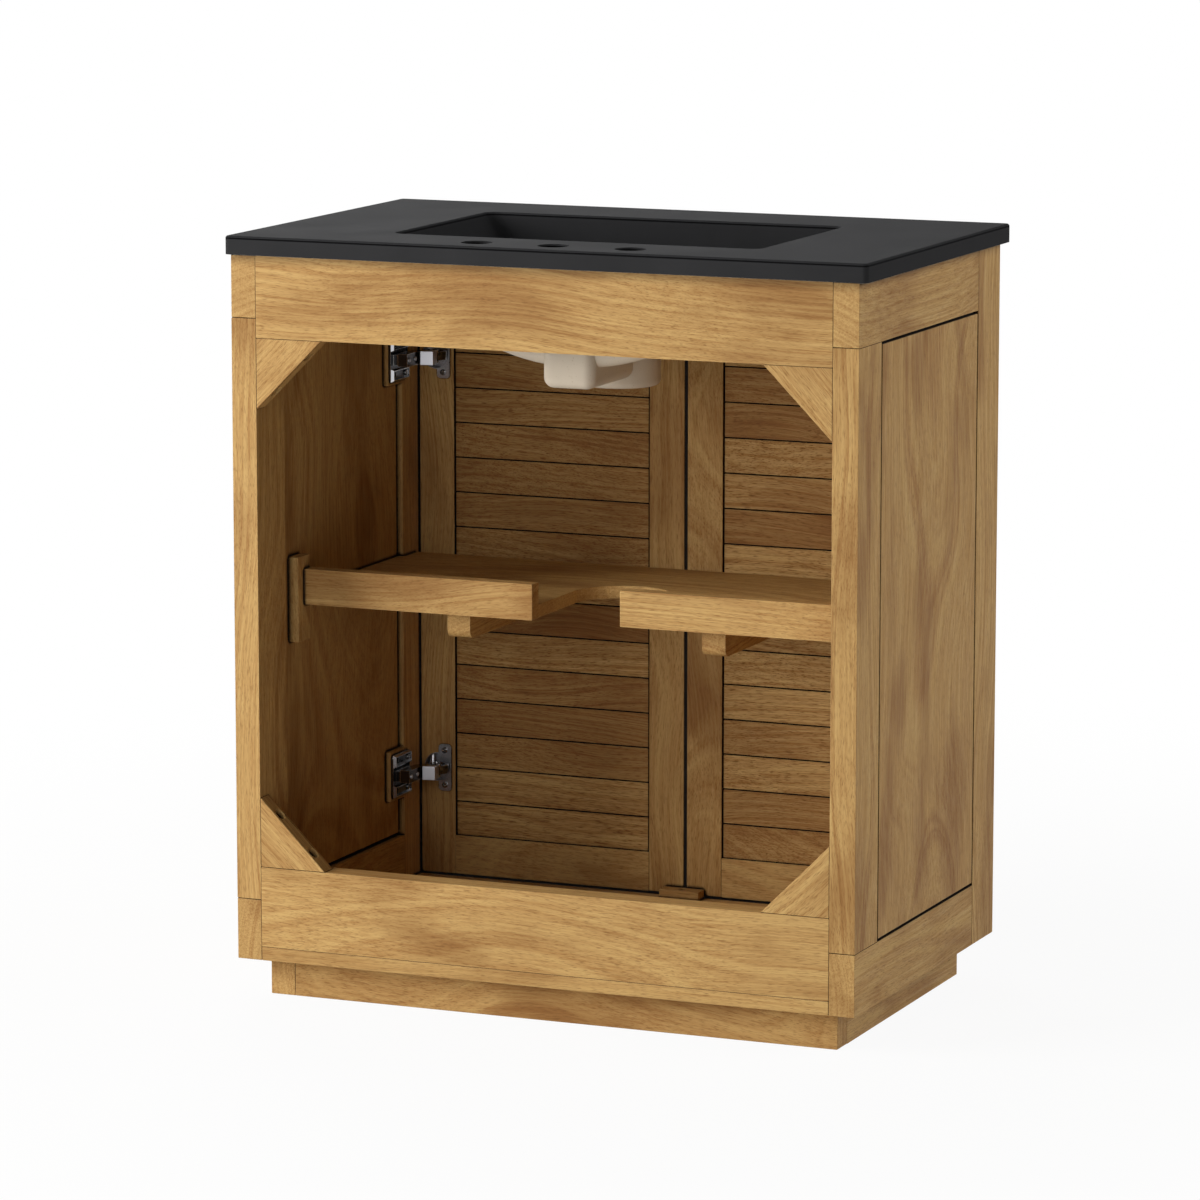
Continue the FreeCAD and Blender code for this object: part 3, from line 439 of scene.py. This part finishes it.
def glazed_stoneware(name, looks):
    """Cast stoneware under a satin black glaze, bare and off-white where the kiln shelf held it.

    The glaze pools a little, so its gloss ripples, and the bare body is chalky with fine specks.
    """
    material, tree = new_material(name)
    place = add(tree, "ShaderNodeTexCoord", {}, {}).outputs["Object"]
    axes = add(tree, "ShaderNodeSeparateXYZ", {}, {"Vector": place}).outputs
    glaze = glazed_area(tree, place, axes)
    # Glaze ripples some 4 mm apart, pools 70 mm apart and body specks 2 mm apart.
    ripple, pooled, speck = [
        add(tree, "ShaderNodeTexNoise", {},
            {"Vector": place, "Scale": 1/(spacing*MM), "Detail": detail, "Roughness": 0.5}).outputs["Fac"]
        for spacing, detail in ((4, 2), (70, 3), (2, 1))]
    black = add(tree, "ShaderNodeMix", COLOURS,
                {SHARE: pooled, UNDER: opaque(looks.glaze_thick),
                 OVER: opaque(looks.glaze_thin)}).outputs[MIXED]
    spots = add(tree, "ShaderNodeMapRange", SMOOTH,
                {"Value": speck, "From Min": 0.66, "From Max": 0.85}).outputs["Result"]
    stain = add(tree, "ShaderNodeMath", {"operation": "MULTIPLY_ADD", "use_clamp": True},
                {0: pooled, 1: 0.5, 2: spots}).outputs[0]
    body = add(tree, "ShaderNodeMix", COLOURS,
               {SHARE: stain, UNDER: opaque(looks.bare_body), OVER: opaque(looks.body_speck)}).outputs[MIXED]
    colour = add(tree, "ShaderNodeMix", COLOURS, {SHARE: glaze, UNDER: body, OVER: black}).outputs[MIXED]
    # Painted shade: a thin band just under the slab's top is darkened along its rounded edge.
    painted_arris_line = add(tree, "ShaderNodeMath", {"operation": "COMPARE"},
               {0: axes["Z"], 1: (SLAB_TOP - ARRIS_SHADE_DROP)*MM, 2: ARRIS_SHADE_WIDTH/2*MM}).outputs[0]
    colour = add(tree, "ShaderNodeMix", COLOURS,
                 {SHARE: painted_arris_line, UNDER: colour, OVER: opaque(looks.painted_arris_shade)}).outputs[MIXED]
    sheen = add(tree, "ShaderNodeMapRange", {},
                {"Value": pooled, "From Min": 0.3, "From Max": 0.7, "To Min": 0.76, "To Max": 0.82})
    rough = add(tree, "ShaderNodeMix", {}, {"Factor": glaze, "A": 0.85, "B": sheen.outputs["Result"]})
    bump = add(tree, "ShaderNodeBump", {}, {"Strength": 0.12, "Distance": 0.2*MM, "Height": ripple})
    finish = add(tree, "ShaderNodeBsdfPrincipled", {},
                 {"Base Color": colour, "Roughness": rough.outputs["Result"], "IOR": 1.5,
                  "Specular IOR Level": 0.02, "Normal": bump.outputs["Normal"]})
    add(tree, "ShaderNodeOutputMaterial", {}, {"Surface": finish.outputs[0]})
    return material


def plated_steel(name, plating, rubbed_and_highlight, roughness):
    """Steel with a thin metal plating: smooth, with faint drag marks, and corners painted brighter, partly
    wear and partly painted highlight.
    """
    material, tree = new_material(name)
    place = add(tree, "ShaderNodeTexCoord", {}, {}).outputs["Object"]
    # Drag marks are hundredths of a millimetre wide, and drawn 0.5 mm wide and 8 mm long to show.
    drag = drawn_out(tree, place, 8, 0.5, detail=2, roughness=0.5, axis=1)["Fac"]
    # Blots some 6 mm apart.
    blot = add(tree, "ShaderNodeTexNoise", {},
               {"Vector": place, "Scale": 1/(6*MM), "Detail": 2, "Roughness": 0.5}).outputs["Fac"]
    # Blots, and corners painted brighter: partly wear, partly painted highlight.
    bright = add(tree, "ShaderNodeMath", {"operation": "MULTIPLY_ADD", "use_clamp": True},
                 {0: blot, 1: 0.08, 2: edge_wear_and_highlight(tree, RUBBED_HIGHLIGHT_WIDTH*MM)}).outputs[0]
    colour = add(tree, "ShaderNodeMix", COLOURS,
                 {SHARE: bright, UNDER: opaque(plating), OVER: opaque(rubbed_and_highlight)}).outputs[MIXED]
    rough = add(tree, "ShaderNodeMapRange", {},
                {"Value": drag, "From Min": 0.3, "From Max": 0.7,
                 "To Min": roughness - 0.06, "To Max": roughness + 0.06}).outputs["Result"]
    bump = add(tree, "ShaderNodeBump", {}, {"Strength": 0.1, "Distance": 0.1*MM, "Height": drag})
    finish = add(tree, "ShaderNodeBsdfPrincipled", {},
                 {"Base Color": colour, "Metallic": 1, "Roughness": rough, "Normal": bump.outputs["Normal"]})
    add(tree, "ShaderNodeOutputMaterial", {}, {"Surface": finish.outputs[0]})
    return material


def finish_node(name, material):
    """Gives one solid its finish."""
    if name not in SOLIDS:
        raise RuntimeError(f"the packed model has no {name}")
    mesh = SOLIDS[name].data
    mesh.materials.clear()
    mesh.materials.append(material)


def ease_edges(name, width):
    """Rounds a solid's sharp edges by the width that sandpaper or a press leaves."""
    thing = SOLIDS[name]
    weld = thing.modifiers.new("weld", "WELD")
    weld.merge_threshold = WELD_REACH*MM
    ease = thing.modifiers.new("ease", "BEVEL")
    ease.width = width
    ease.segments = 2
    ease.limit_method = "ANGLE"
    ease.angle_limit = EASED_ANGLE
    ease.harden_normals = True


def new_piece(name, mesh, body, material):
    """Puts a new mesh in the scene, riding on a body."""
    thing = bpy.data.objects.new(name, mesh)
    bpy.context.scene.collection.objects.link(thing)
    mesh.materials.append(material)
    flats = thing.modifiers.new("true_flats", "WEIGHTED_NORMAL")
    flats.keep_sharp = True
    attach(thing, body)
    return thing


def each_hinge():
    """Each hinge's place on its door, its hand and the sign of its side."""
    for place in HINGE_HEIGHTS:
        for hand, side in HANDS.items():
            yield place, hand, side


def hinge_spot(side, place, across, back, up=0):
    """A hinge's own millimetres, from the stile's face and the door's front, in the vanity's metres."""
    return Vector((side*(INNER_FACE - across), DOOR_FRONT + back, HINGE_HEIGHTS[place] + up))*MM


def hinge_way(side, across, back):
    """A direction in a hinge's own plan, turned into the vanity's."""
    return Vector((-side*across, back, 0)).normalized()


def facing(origin, outward, upright=Vector((0, 0, 1))):
    """A frame whose Z looks outward and whose Y runs as near to upright as it can."""
    sideways = upright.cross(outward).normalized()
    turned = Matrix((sideways, outward.cross(sideways), outward)).transposed().to_4x4()
    turned.translation = origin
    return turned


def hinge_screw_spots(side, seat, way):
    """Where two screws stand on each hinge of one side, from how far across, back and off its middle."""
    across, back, off_middle = seat
    return [facing(hinge_spot(side, place, across, back, end*off_middle), hinge_way(side, *way))
            for place in HINGE_HEIGHTS for end in (1, -1)]


def gusset_screw_spots(side):
    """Where two screws stand in each gusset of one side, at the bottom of counterbores in its long face."""
    spots = []
    back = middle("upper_right_gusset").y
    for corner, up in ((highest("upper_right_gusset").z, -1), (lowest("lower_right_gusset").z, 1)):
        outward = Vector((-side, 0, up)).normalized()
        for along in (GUSSET_SCREW_OFFSET, -GUSSET_SCREW_OFFSET):
            from_stile = GUSSET_LEG/2 + (along - COUNTERBORE_DEPTH)/math.sqrt(2)
            from_rail = GUSSET_LEG/2 - (along + COUNTERBORE_DEPTH)/math.sqrt(2)
            spot = Vector((side*(INNER_FACE - from_stile), back, corner + up*from_rail))*MM
            spots.append(facing(spot, outward, Vector((0, 1, 0))))
    return spots


def folded_hood(form, corners, fold):
    """Adds a closed hood with folded edges to a mesh being built, from its corners below and above."""
    bottom, top = [[form.verts.new(corner) for corner in level] for level in corners]
    faces = [form.faces.new(top), form.faces.new(reversed(bottom))]
    for place, corner in enumerate(bottom):
        after = (place + 1) % len(bottom)
        faces.append(form.faces.new((corner, bottom[after], top[after], top[place])))
    edges = {edge for face in faces for edge in face.edges}
    bmesh.ops.bevel(form, geom=list(edges), offset=fold, segments=3, affect="EDGES", profile=0.5)


def join_rings(form, first, second):
    """Adds the faces between two rings of as many points to a mesh being built."""
    for place in range(len(first)):
        after = (place + 1) % len(first)
        form.faces.new((first[place], second[place], second[after], first[after]))


def folded_rim(form, outline, section, place_at):
    """Adds a standing rim to a mesh being built, along an outline of (near, low, far, high) edges.

    The section lists the rim's corners in turn, each as its height and its distance inside the outline.
    """
    near, low, far, high = outline
    rings = []
    for level, inset in section:
        ring = ((near + inset, low + inset), (far - inset, low + inset),
                (far - inset, high - inset), (near + inset, high - inset))
        rings.append([form.verts.new(place_at(level, *corner)) for corner in ring])
    for ring, following in zip(rings, rings[1:] + rings[:1]):
        join_rings(form, ring, following)


def round_ring(count, radius, level):
    """A level ring of points, none of them on an axis."""
    angles = [2*math.pi*(place + 0.5)/count for place in range(count)]
    return [Vector((math.cos(angle)*radius, math.sin(angle)*radius, level)) for angle in angles]


def cross_screw(form, where, sizes):
    """Adds a pan-head screw with a cross recess and a pointed shank to a mesh being built."""
    head_radius, head_height, shank_radius, shank_length = [size*MM for size in sizes]
    slot_half = 0.16*head_radius
    slot_reach = 0.62*head_radius
    slot_drop = 0.55*head_height
    around = 48
    # The recess is a plus-shaped ring of points, met by rings of the same count out to the rim.
    plus = []
    for way in round_ring(around, 1, 0):
        far, near = max(abs(way.x), abs(way.y)), min(abs(way.x), abs(way.y))
        plus.append(way*min(slot_reach/far, slot_half/near))
    rings = [[point*0.6 + Vector((0, 0, head_height - slot_drop)) for point in plus],
             [point + Vector((0, 0, head_height)) for point in plus]]
    # The head's dome, in shares of its radius and height, and then the shank down to its point
    for reach, level in ((0.70, 1.0), (0.86, 0.93), (0.96, 0.72), (1.0, 0.40), (1.0, 0.0)):
        rings.append(round_ring(around, head_radius*reach, head_height*level))
    for reach, drop in ((1, 0), (1, 0.8), (0.1, 1)):
        rings.append(round_ring(around, shank_radius*reach, -shank_length*drop))
    made = [[form.verts.new(where @ point) for point in ring] for ring in rings]
    for inner, outer in zip(made, made[1:]):
        join_rings(form, inner, outer)
    form.faces.new(made[0])
    form.faces.new(reversed(made[-1]))


def closed_mesh(form, name):
    """Turns a mesh being built into mesh data with outward faces, smooth but for its sharp corners."""
    bmesh.ops.recalc_face_normals(form, faces=form.faces)
    mesh = bpy.data.meshes.new(name)
    form.to_mesh(mesh)
    form.free()
    mesh.shade_smooth()
    mesh.set_sharp_from_angle(angle=SHARP_ANGLE)
    return mesh


class VanityWoodLooks(bpy.types.PropertyGroup):
    """Colours and grain of the oiled boards."""

    early_wood: FloatVectorProperty(
        name="Early wood", description="Pale wood between the growth lines", subtype="COLOR", size=3,
        min=0, max=1, default=linear("#CDA96C"))
    late_wood: FloatVectorProperty(
        name="Late wood", description="Brown of the growth lines and fibre streaks", subtype="COLOR", size=3,
        min=0, max=1, default=linear("#AA7D48"))
    heart_stain: FloatVectorProperty(
        name="Heartwood", description="Tint of boards and clouds from near the heart", subtype="COLOR",
        size=3, min=0, max=1, default=linear("#B0937A"))
    pore: FloatVectorProperty(
        name="Pores", description="Short dark dashes along the grain", subtype="COLOR", size=3,
        min=0, max=1, default=linear("#7A522B"))
    worn_edge: FloatVectorProperty(
        name="Rubbed edge", description="Paler wood on handled edges", subtype="COLOR", size=3,
        min=0, max=1, default=linear("#D3B27C"))
    # Painted shade: the colour laid in joints, gaps and inner corners and under the slab.
    joint: FloatVectorProperty(
        name="Joint shade", description="Dark line where two boards meet", subtype="COLOR", size=3,
        min=0, max=1, default=linear("#120B05"))
    ring_spacing: FloatProperty(
        name="Ring spacing", description="Distance between growth lines", unit="LENGTH", min=0.001,
        default=5*MM)
    figure: FloatProperty(
        name="Figure", description="How far the log's heart wanders in the boards with most arches",
        unit="LENGTH", min=0, default=150*MM)
    edge_round: FloatProperty(
        name="Edge round", description="Width that sanding takes off each edge", unit="LENGTH", min=0,
        default=1.0*MM)


class VanityCeramicLooks(bpy.types.PropertyGroup):
    """Colours of the ceramic top."""

    glaze_thick: FloatVectorProperty(
        name="Thick glaze", description="Black where the glaze pools", subtype="COLOR", size=3,
        min=0, max=1, default=linear("#2C2C2D"))
    glaze_thin: FloatVectorProperty(
        name="Thin glaze", description="Black where the glaze runs thin", subtype="COLOR", size=3,
        min=0, max=1, default=linear("#353536"))
    # Painted shade: the dark of the thin line along the slab's rounded top edge.
    painted_arris_shade: FloatVectorProperty(
        name="Glaze edge", description="Deep black where the glaze gathers under an edge", subtype="COLOR",
        size=3, min=0, max=1, default=linear("#101011"))
    bare_body: FloatVectorProperty(
        name="Bare body", description="Unglazed underside", subtype="COLOR", size=3,
        min=0, max=1, default=linear("#D8CDBC"))
    body_speck: FloatVectorProperty(
        name="Body speck", description="Specks in the unglazed underside", subtype="COLOR", size=3,
        min=0, max=1, default=linear("#BBAA92"))


class VanityMetalLooks(bpy.types.PropertyGroup):
    """Colours and sizes of the hinges and screws."""

    black_nickel: FloatVectorProperty(
        name="Black nickel", description="Dark plating of the hinge arms, plates and screws",
        subtype="COLOR", size=3, min=0, max=1, default=linear("#4A494A"))
    # Painted highlight, with some wear, on the corners of the hinges and screws.
    rubbed_and_highlight_nickel: FloatVectorProperty(
        name="Rubbed nickel", description="Brighter corners of the hinges and screws", subtype="COLOR",
        size=3, min=0, max=1, default=linear("#D6D4D0"))
    bright_nickel: FloatVectorProperty(
        name="Bright nickel", description="Plating of the hinge covers and adjusting screws",
        subtype="COLOR", size=3, min=0, max=1, default=linear("#B4B4B8"))
    plain_nickel: FloatVectorProperty(
        name="Plain nickel", description="Plating of the hinge cups and plate rims", subtype="COLOR", size=3,
        min=0, max=1, default=linear("#BCBCC0"))
    zinc: FloatVectorProperty(
        name="Zinc", description="Plating of the wood screws", subtype="COLOR", size=3,
        min=0, max=1, default=linear("#8F8B86"))
    cover_width: FloatProperty(
        name="Cover width", description="Width of the bright cover on each hinge arm", unit="LENGTH",
        default=15.2*MM)
    cover_height: FloatProperty(
        name="Cover height", description="Height of the bright cover on each hinge arm", unit="LENGTH",
        default=17*MM)
    cover_fold: FloatProperty(
        name="Cover fold", description="Radius of the folded edges of each cover", unit="LENGTH",
        default=0.8*MM)
    metal_round: FloatProperty(
        name="Metal edge round", description="Rounding that pressing leaves on the hinges", unit="LENGTH",
        default=0.6*MM)


class VanityStageLooks(bpy.types.PropertyGroup):
    """Floor, lamps and camera."""

    floor_colour: FloatVectorProperty(
        name="Floor", description="Pale studio floor", subtype="COLOR", size=3,
        min=0, max=1, default=linear("#F4F3F0"))
    key_power: FloatProperty(
        name="Key lamp", description="Large lamp on the right-hand side of the open back", unit="POWER",
        default=216)
    low_power: FloatProperty(
        name="Low lamp", description="Lamp beside the camera that reaches inside", unit="POWER", default=46)
    side_power: FloatProperty(
        name="Side lamp", description="Large lamp at the left-hand side", unit="POWER", default=45)
    front_power: FloatProperty(
        name="Front lamp", description="Large lamp in front of the doors", unit="POWER", default=70)
    sky_level: FloatProperty(
        name="Sky level", description="Even light from all round", min=0, default=0.055)
    lens: FloatProperty(
        name="Lens", description="Focal length on a 36 mm wide frame", unit="CAMERA", default=171.27)


class VANITY_OT_boards(bpy.types.Operator):
    """Finish every board in oiled teak with its own grain and eased edges."""

    bl_idname = "vanity.boards"
    bl_label = "Finish Boards"

    def execute(self, context):
        looks = context.scene.vanity_wood
        finishes = {}
        for name, turn in BOARD_GRAIN.items():
            rows = name.endswith("slats")
            if (turn, rows) not in finishes:
                label = f"oiled_planed_teak_{len(finishes) + 1}"
                finishes[turn, rows] = oiled_teak(label, looks, turn, rows)
            finish_node(name, finishes[turn, rows])
            ease_edges(name, looks.edge_round)
        return {"FINISHED"}


class VANITY_OT_ceramic_top(bpy.types.Operator):
    """Glaze the basin top and leave its underside bare."""

    bl_idname = "vanity.ceramic_top"
    bl_label = "Glaze Ceramic Top"

    def execute(self, context):
        finish_node("vanity_top", glazed_stoneware("satin_glazed_stoneware", context.scene.vanity_ceramic))
        return {"FINISHED"}


class VANITY_OT_hinges(bpy.types.Operator):
    """Plate the hinges in nickel, black but for the cups, and round their pressed edges."""

    bl_idname = "vanity.hinges"
    bl_label = "Plate Hinges"

    def execute(self, context):
        looks = context.scene.vanity_metal
        black = plated_steel("pressed_steel_black_nickel", looks.black_nickel, looks.rubbed_and_highlight_nickel,
                             roughness=0.18)
        plain = plated_steel("pressed_steel_nickel", looks.plain_nickel, looks.rubbed_and_highlight_nickel, roughness=0.3)
        finishes = {f"{hand}_hinge_plates": black for hand in HANDS}
        for place, hand, _ in each_hinge():
            finishes[f"{place}_{hand}_hinge_arm"] = black
            finishes[f"{place}_{hand}_hinge_link"] = black
            finishes[f"{place}_{hand}_hinge_cup"] = plain
        for name, finish in finishes.items():
            finish_node(name, finish)
            ease_edges(name, looks.metal_round)
        return {"FINISHED"}


class VANITY_OT_hinge_covers(bpy.types.Operator):
    """Make the bright folded cover of each hinge arm."""

    bl_idname = "vanity.hinge_covers"
    bl_label = "Make Hinge Covers"

    def execute(self, context):
        looks = context.scene.vanity_metal
        bright = plated_steel("pressed_steel_bright_nickel", looks.bright_nickel, looks.bright_nickel,
                              roughness=0.4)
        half = looks.cover_height/MM/2
        plan = (COVER_TAIL, (COVER_TAIL[0] + looks.cover_width/MM, COVER_SHOULDER), COVER_NOSE)
        for place, hand, side in each_hinge():
            form = bmesh.new()
            corners = [[hinge_spot(side, place, *corner, level) for corner in plan]
                       for level in (-half, half)]
            folded_hood(form, corners, looks.cover_fold)
            mesh = closed_mesh(form, f"{place}_{hand}_hinge_cover")
            new_piece(mesh.name, mesh, "carcass", bright)
        return {"FINISHED"}


class VANITY_OT_hinge_adjusters(bpy.types.Operator):
    """Make the two adjusting screws on each hinge arm."""

    bl_idname = "vanity.hinge_adjusters"
    bl_label = "Make Hinge Adjusters"

    def execute(self, context):
        looks = context.scene.vanity_metal
        bright = plated_steel("turned_steel_bright_nickel", looks.bright_nickel, looks.bright_nickel,
                              roughness=0.4)
        for place, hand, side in each_hinge():
            form = bmesh.new()
            for back, turn in ADJUSTER_TURNS.items():
                where = facing(hinge_spot(side, place, ARM_FACE, back), hinge_way(side, 1, 0))
                cross_screw(form, where @ Matrix.Rotation(math.radians(turn), 4, "Z"), ADJUSTING_SCREW)
            mesh = closed_mesh(form, f"{place}_{hand}_hinge_adjusters")
            new_piece(mesh.name, mesh, "carcass", bright)
        return {"FINISHED"}


class VANITY_OT_hinge_rims(bpy.types.Operator):
    """Make the folded rims of the two wings of each hinge plate."""

    bl_idname = "vanity.hinge_rims"
    bl_label = "Make Hinge Rims"

    def execute(self, context):
        looks = context.scene.vanity_metal
        folded = plated_steel("folded_steel_nickel", looks.plain_nickel, looks.rubbed_and_highlight_nickel, roughness=0.16)
        for place, hand, side in each_hinge():
            form = bmesh.new()
            for low, high in RIM_LEVELS:
                folded_rim(form, (RIM_NEAR, low, RIM_FAR, high), RIM_SECTION,
                           lambda across, back, up: hinge_spot(side, place, across, back, up))
            mesh = closed_mesh(form, f"{place}_{hand}_hinge_rims")
            new_piece(mesh.name, mesh, "carcass", folded)
        return {"FINISHED"}


class VANITY_OT_screws(bpy.types.Operator):
    """Make the cross-recess screws of the hinges, gussets and door stop."""

    bl_idname = "vanity.screws"
    bl_label = "Make Screws"

    def execute(self, context):
        looks = context.scene.vanity_metal
        nickel = plated_steel("turned_steel_black_nickel", looks.black_nickel, looks.rubbed_and_highlight_nickel,
                              roughness=0.2)
        zinc = plated_steel("turned_steel_zinc", looks.zinc, looks.rubbed_and_highlight_nickel, roughness=0.32)
        plate_spots = [spot for side in HANDS.values()
                       for spot in hinge_screw_spots(side, PLATE_SCREWS, (1, 0))]
        gusset_spots = [spot for side in HANDS.values() for spot in gusset_screw_spots(side)]
        stop_spot = facing(middle("door_stop_block")*MM, Vector((0, 0, 1)), Vector((0, 1, 0)))
        self.screw_set("hinge_plate_screws", "carcass", nickel, SMALL_SCREW, plate_spots)
        self.screw_set("gusset_screws", "carcass", zinc, GUSSET_SCREW, gusset_spots)
        self.screw_set("door_stop_screw", "carcass", zinc, SMALL_SCREW, [stop_spot])
        for hand, side in HANDS.items():
            self.screw_set(f"{hand}_hinge_cup_screws", f"{hand}_door", nickel, SMALL_SCREW,
                           hinge_screw_spots(side, CUP_SCREWS, (0, 1)))
        return {"FINISHED"}

    def screw_set(self, name, body, finish, sizes, spots):
        """A set of like screws that stands for its plain solids."""
        form = bmesh.new()
        for number, spot in enumerate(spots):
            cross_screw(form, spot @ Matrix.Rotation(TURN_STEP*number + FIRST_TURN, 4, "Z"), sizes)
        piece = new_piece(f"{name}_cut", closed_mesh(form, f"{name}_cut"), body, finish)
        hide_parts(name)


class VANITY_OT_stage(bpy.types.Operator):
    """Set the pale floor, the soft lamps, the even sky and the camera."""

    bl_idname = "vanity.stage"
    bl_label = "Set Stage"

    def execute(self, context):
        looks = context.scene.vanity_stage
        self.floor(looks)
        self.sky(looks)
        for name, (spot, size) in LAMPS.items():
            self.lamp(f"{name}_lamp", Vector(spot), size, getattr(looks, f"{name}_power"))
        self.camera(looks)
        context.scene.view_settings.view_transform = "Standard"
        return {"FINISHED"}

    def seen_white(self, tree):
        """1 for rays that see the stage as white: from the camera, a gloss or through glass."""
        path = add(tree, "ShaderNodeLightPath", {}, {}).outputs
        seen = add(tree, "ShaderNodeMath", {"operation": "MAXIMUM"},
                   {0: path["Is Camera Ray"], 1: path["Is Glossy Ray"]}).outputs[0]
        return add(tree, "ShaderNodeMath", {"operation": "MAXIMUM"},
                   {0: seen, 1: path["Is Transmission Ray"]}).outputs[0]

    def floor(self, looks):
        """A wide floor in matt paint, which has no gloss, shows as white and keeps a faint shadow."""
        form = bmesh.new()
        bmesh.ops.create_grid(form, x_segments=8, y_segments=8, size=FLOOR_HALF)
        mesh = bpy.data.meshes.new("studio_floor")
        form.to_mesh(mesh)
        form.free()
        floor = bpy.data.objects.new("studio_floor", mesh)
        bpy.context.scene.collection.objects.link(floor)
        material, tree = new_material("matt_painted_floor")
        paint = add(tree, "ShaderNodeBsdfDiffuse", {}, {"Color": opaque(looks.floor_colour)})
        glow = add(tree, "ShaderNodeEmission", {}, {"Color": WHITE, "Strength": 1})
        place = add(tree, "ShaderNodeTexCoord", {}, {}).outputs["Object"]
        away = add(tree, "ShaderNodeVectorMath", {"operation": "LENGTH"}, {0: place}).outputs["Value"]
        # The paint shows through near the vanity, where its shadow falls.
        fade = add(tree, "ShaderNodeMapRange", SMOOTH,
                   {"Value": away, "From Min": FADE_START, "From Max": FADE_END,
                    "To Min": 0.93, "To Max": 1})
        share = add(tree, "ShaderNodeMath", {"operation": "MULTIPLY"},
                    {0: self.seen_white(tree), 1: fade.outputs["Result"]})
        both = add(tree, "ShaderNodeMixShader", {},
                   {0: share.outputs[0], 1: paint.outputs[0], 2: glow.outputs[0]})
        add(tree, "ShaderNodeOutputMaterial", {}, {"Surface": both.outputs[0]})
        mesh.materials.append(material)

    def sky(self, looks):
        """Even light that shows as white."""
        world = bpy.data.worlds.new("studio_sky")
        world.use_nodes = True
        tree = world.node_tree
        tree.nodes.clear()
        level = add(tree, "ShaderNodeMapRange", {},
                    {"Value": self.seen_white(tree), "To Min": looks.sky_level})
        glow = add(tree, "ShaderNodeBackground", {}, {"Color": WHITE, "Strength": level.outputs["Result"]})
        add(tree, "ShaderNodeOutputWorld", {}, {"Surface": glow.outputs[0]})
        bpy.context.scene.world = world

    def lamp(self, name, spot, size, power):
        """A square soft lamp that looks at the middle of the cabinet."""
        light = bpy.data.lights.new(name, "AREA")
        light.energy = power
        light.size = size
        lamp = bpy.data.objects.new(name, light)
        lamp.location = spot
        lamp.rotation_euler = (LAMP_AIM - spot).to_track_quat("-Z", "Y").to_euler()
        bpy.context.scene.collection.objects.link(lamp)

    def camera(self, looks):
        """The view from behind, a little from the left-hand side and above."""
        lens = bpy.data.cameras.new("camera")
        lens.sensor_width = SENSOR_WIDTH
        lens.lens = looks.lens
        camera = bpy.data.objects.new("camera", lens)
        camera.location = CAMERA_PLACE
        camera.rotation_euler = (math.radians(90 - CAMERA_TILT), 0, math.radians(180 + CAMERA_TURN))
        bpy.context.scene.collection.objects.link(camera)
        bpy.context.scene.camera = camera


OPERATORS = (VANITY_OT_boards, VANITY_OT_ceramic_top, VANITY_OT_hinges, VANITY_OT_hinge_covers,
             VANITY_OT_hinge_adjusters, VANITY_OT_hinge_rims, VANITY_OT_screws, VANITY_OT_stage)
LOOKS = {"vanity_wood": VanityWoodLooks, "vanity_ceramic": VanityCeramicLooks,
         "vanity_metal": VanityMetalLooks, "vanity_stage": VanityStageLooks}


class VANITY_PT_panel(bpy.types.Panel):
    """Lists the vanity's sizes, colours and making steps."""

    bl_idname = "VANITY_PT_panel"
    bl_label = "Vanity Unit"
    bl_space_type = "VIEW_3D"
    bl_region_type = "UI"
    bl_category = "Vanity"

    def draw(self, context):
        for name, group in LOOKS.items():
            looks = getattr(context.scene, name)
            box = self.layout.box()
            for prop in group.__annotations__:
                box.prop(looks, prop)
        for operator in OPERATORS:
            self.layout.operator(operator.bl_idname)


def register():
    """Adds the classes and the scene's settings."""
    for group in (*LOOKS.values(), *OPERATORS, VANITY_PT_panel):
        bpy.utils.register_class(group)
    for name, group in LOOKS.items():
        setattr(bpy.types.Scene, name, PointerProperty(type=group))


def unregister():
    """Removes the scene's settings and the classes."""
    for name in LOOKS:
        delattr(bpy.types.Scene, name)
    for group in (VANITY_PT_panel, *reversed(OPERATORS), *reversed(LOOKS.values())):
        bpy.utils.unregister_class(group)


def main():
    """Makes the vanity's looks in order."""
    register()
    bpy.ops.vanity.boards()
    bpy.ops.vanity.ceramic_top()
    bpy.ops.vanity.hinges()
    bpy.ops.vanity.hinge_covers()
    bpy.ops.vanity.hinge_adjusters()
    bpy.ops.vanity.hinge_rims()
    bpy.ops.vanity.screws()
    bpy.ops.vanity.stage()


if __name__ == "__main__":
    main()
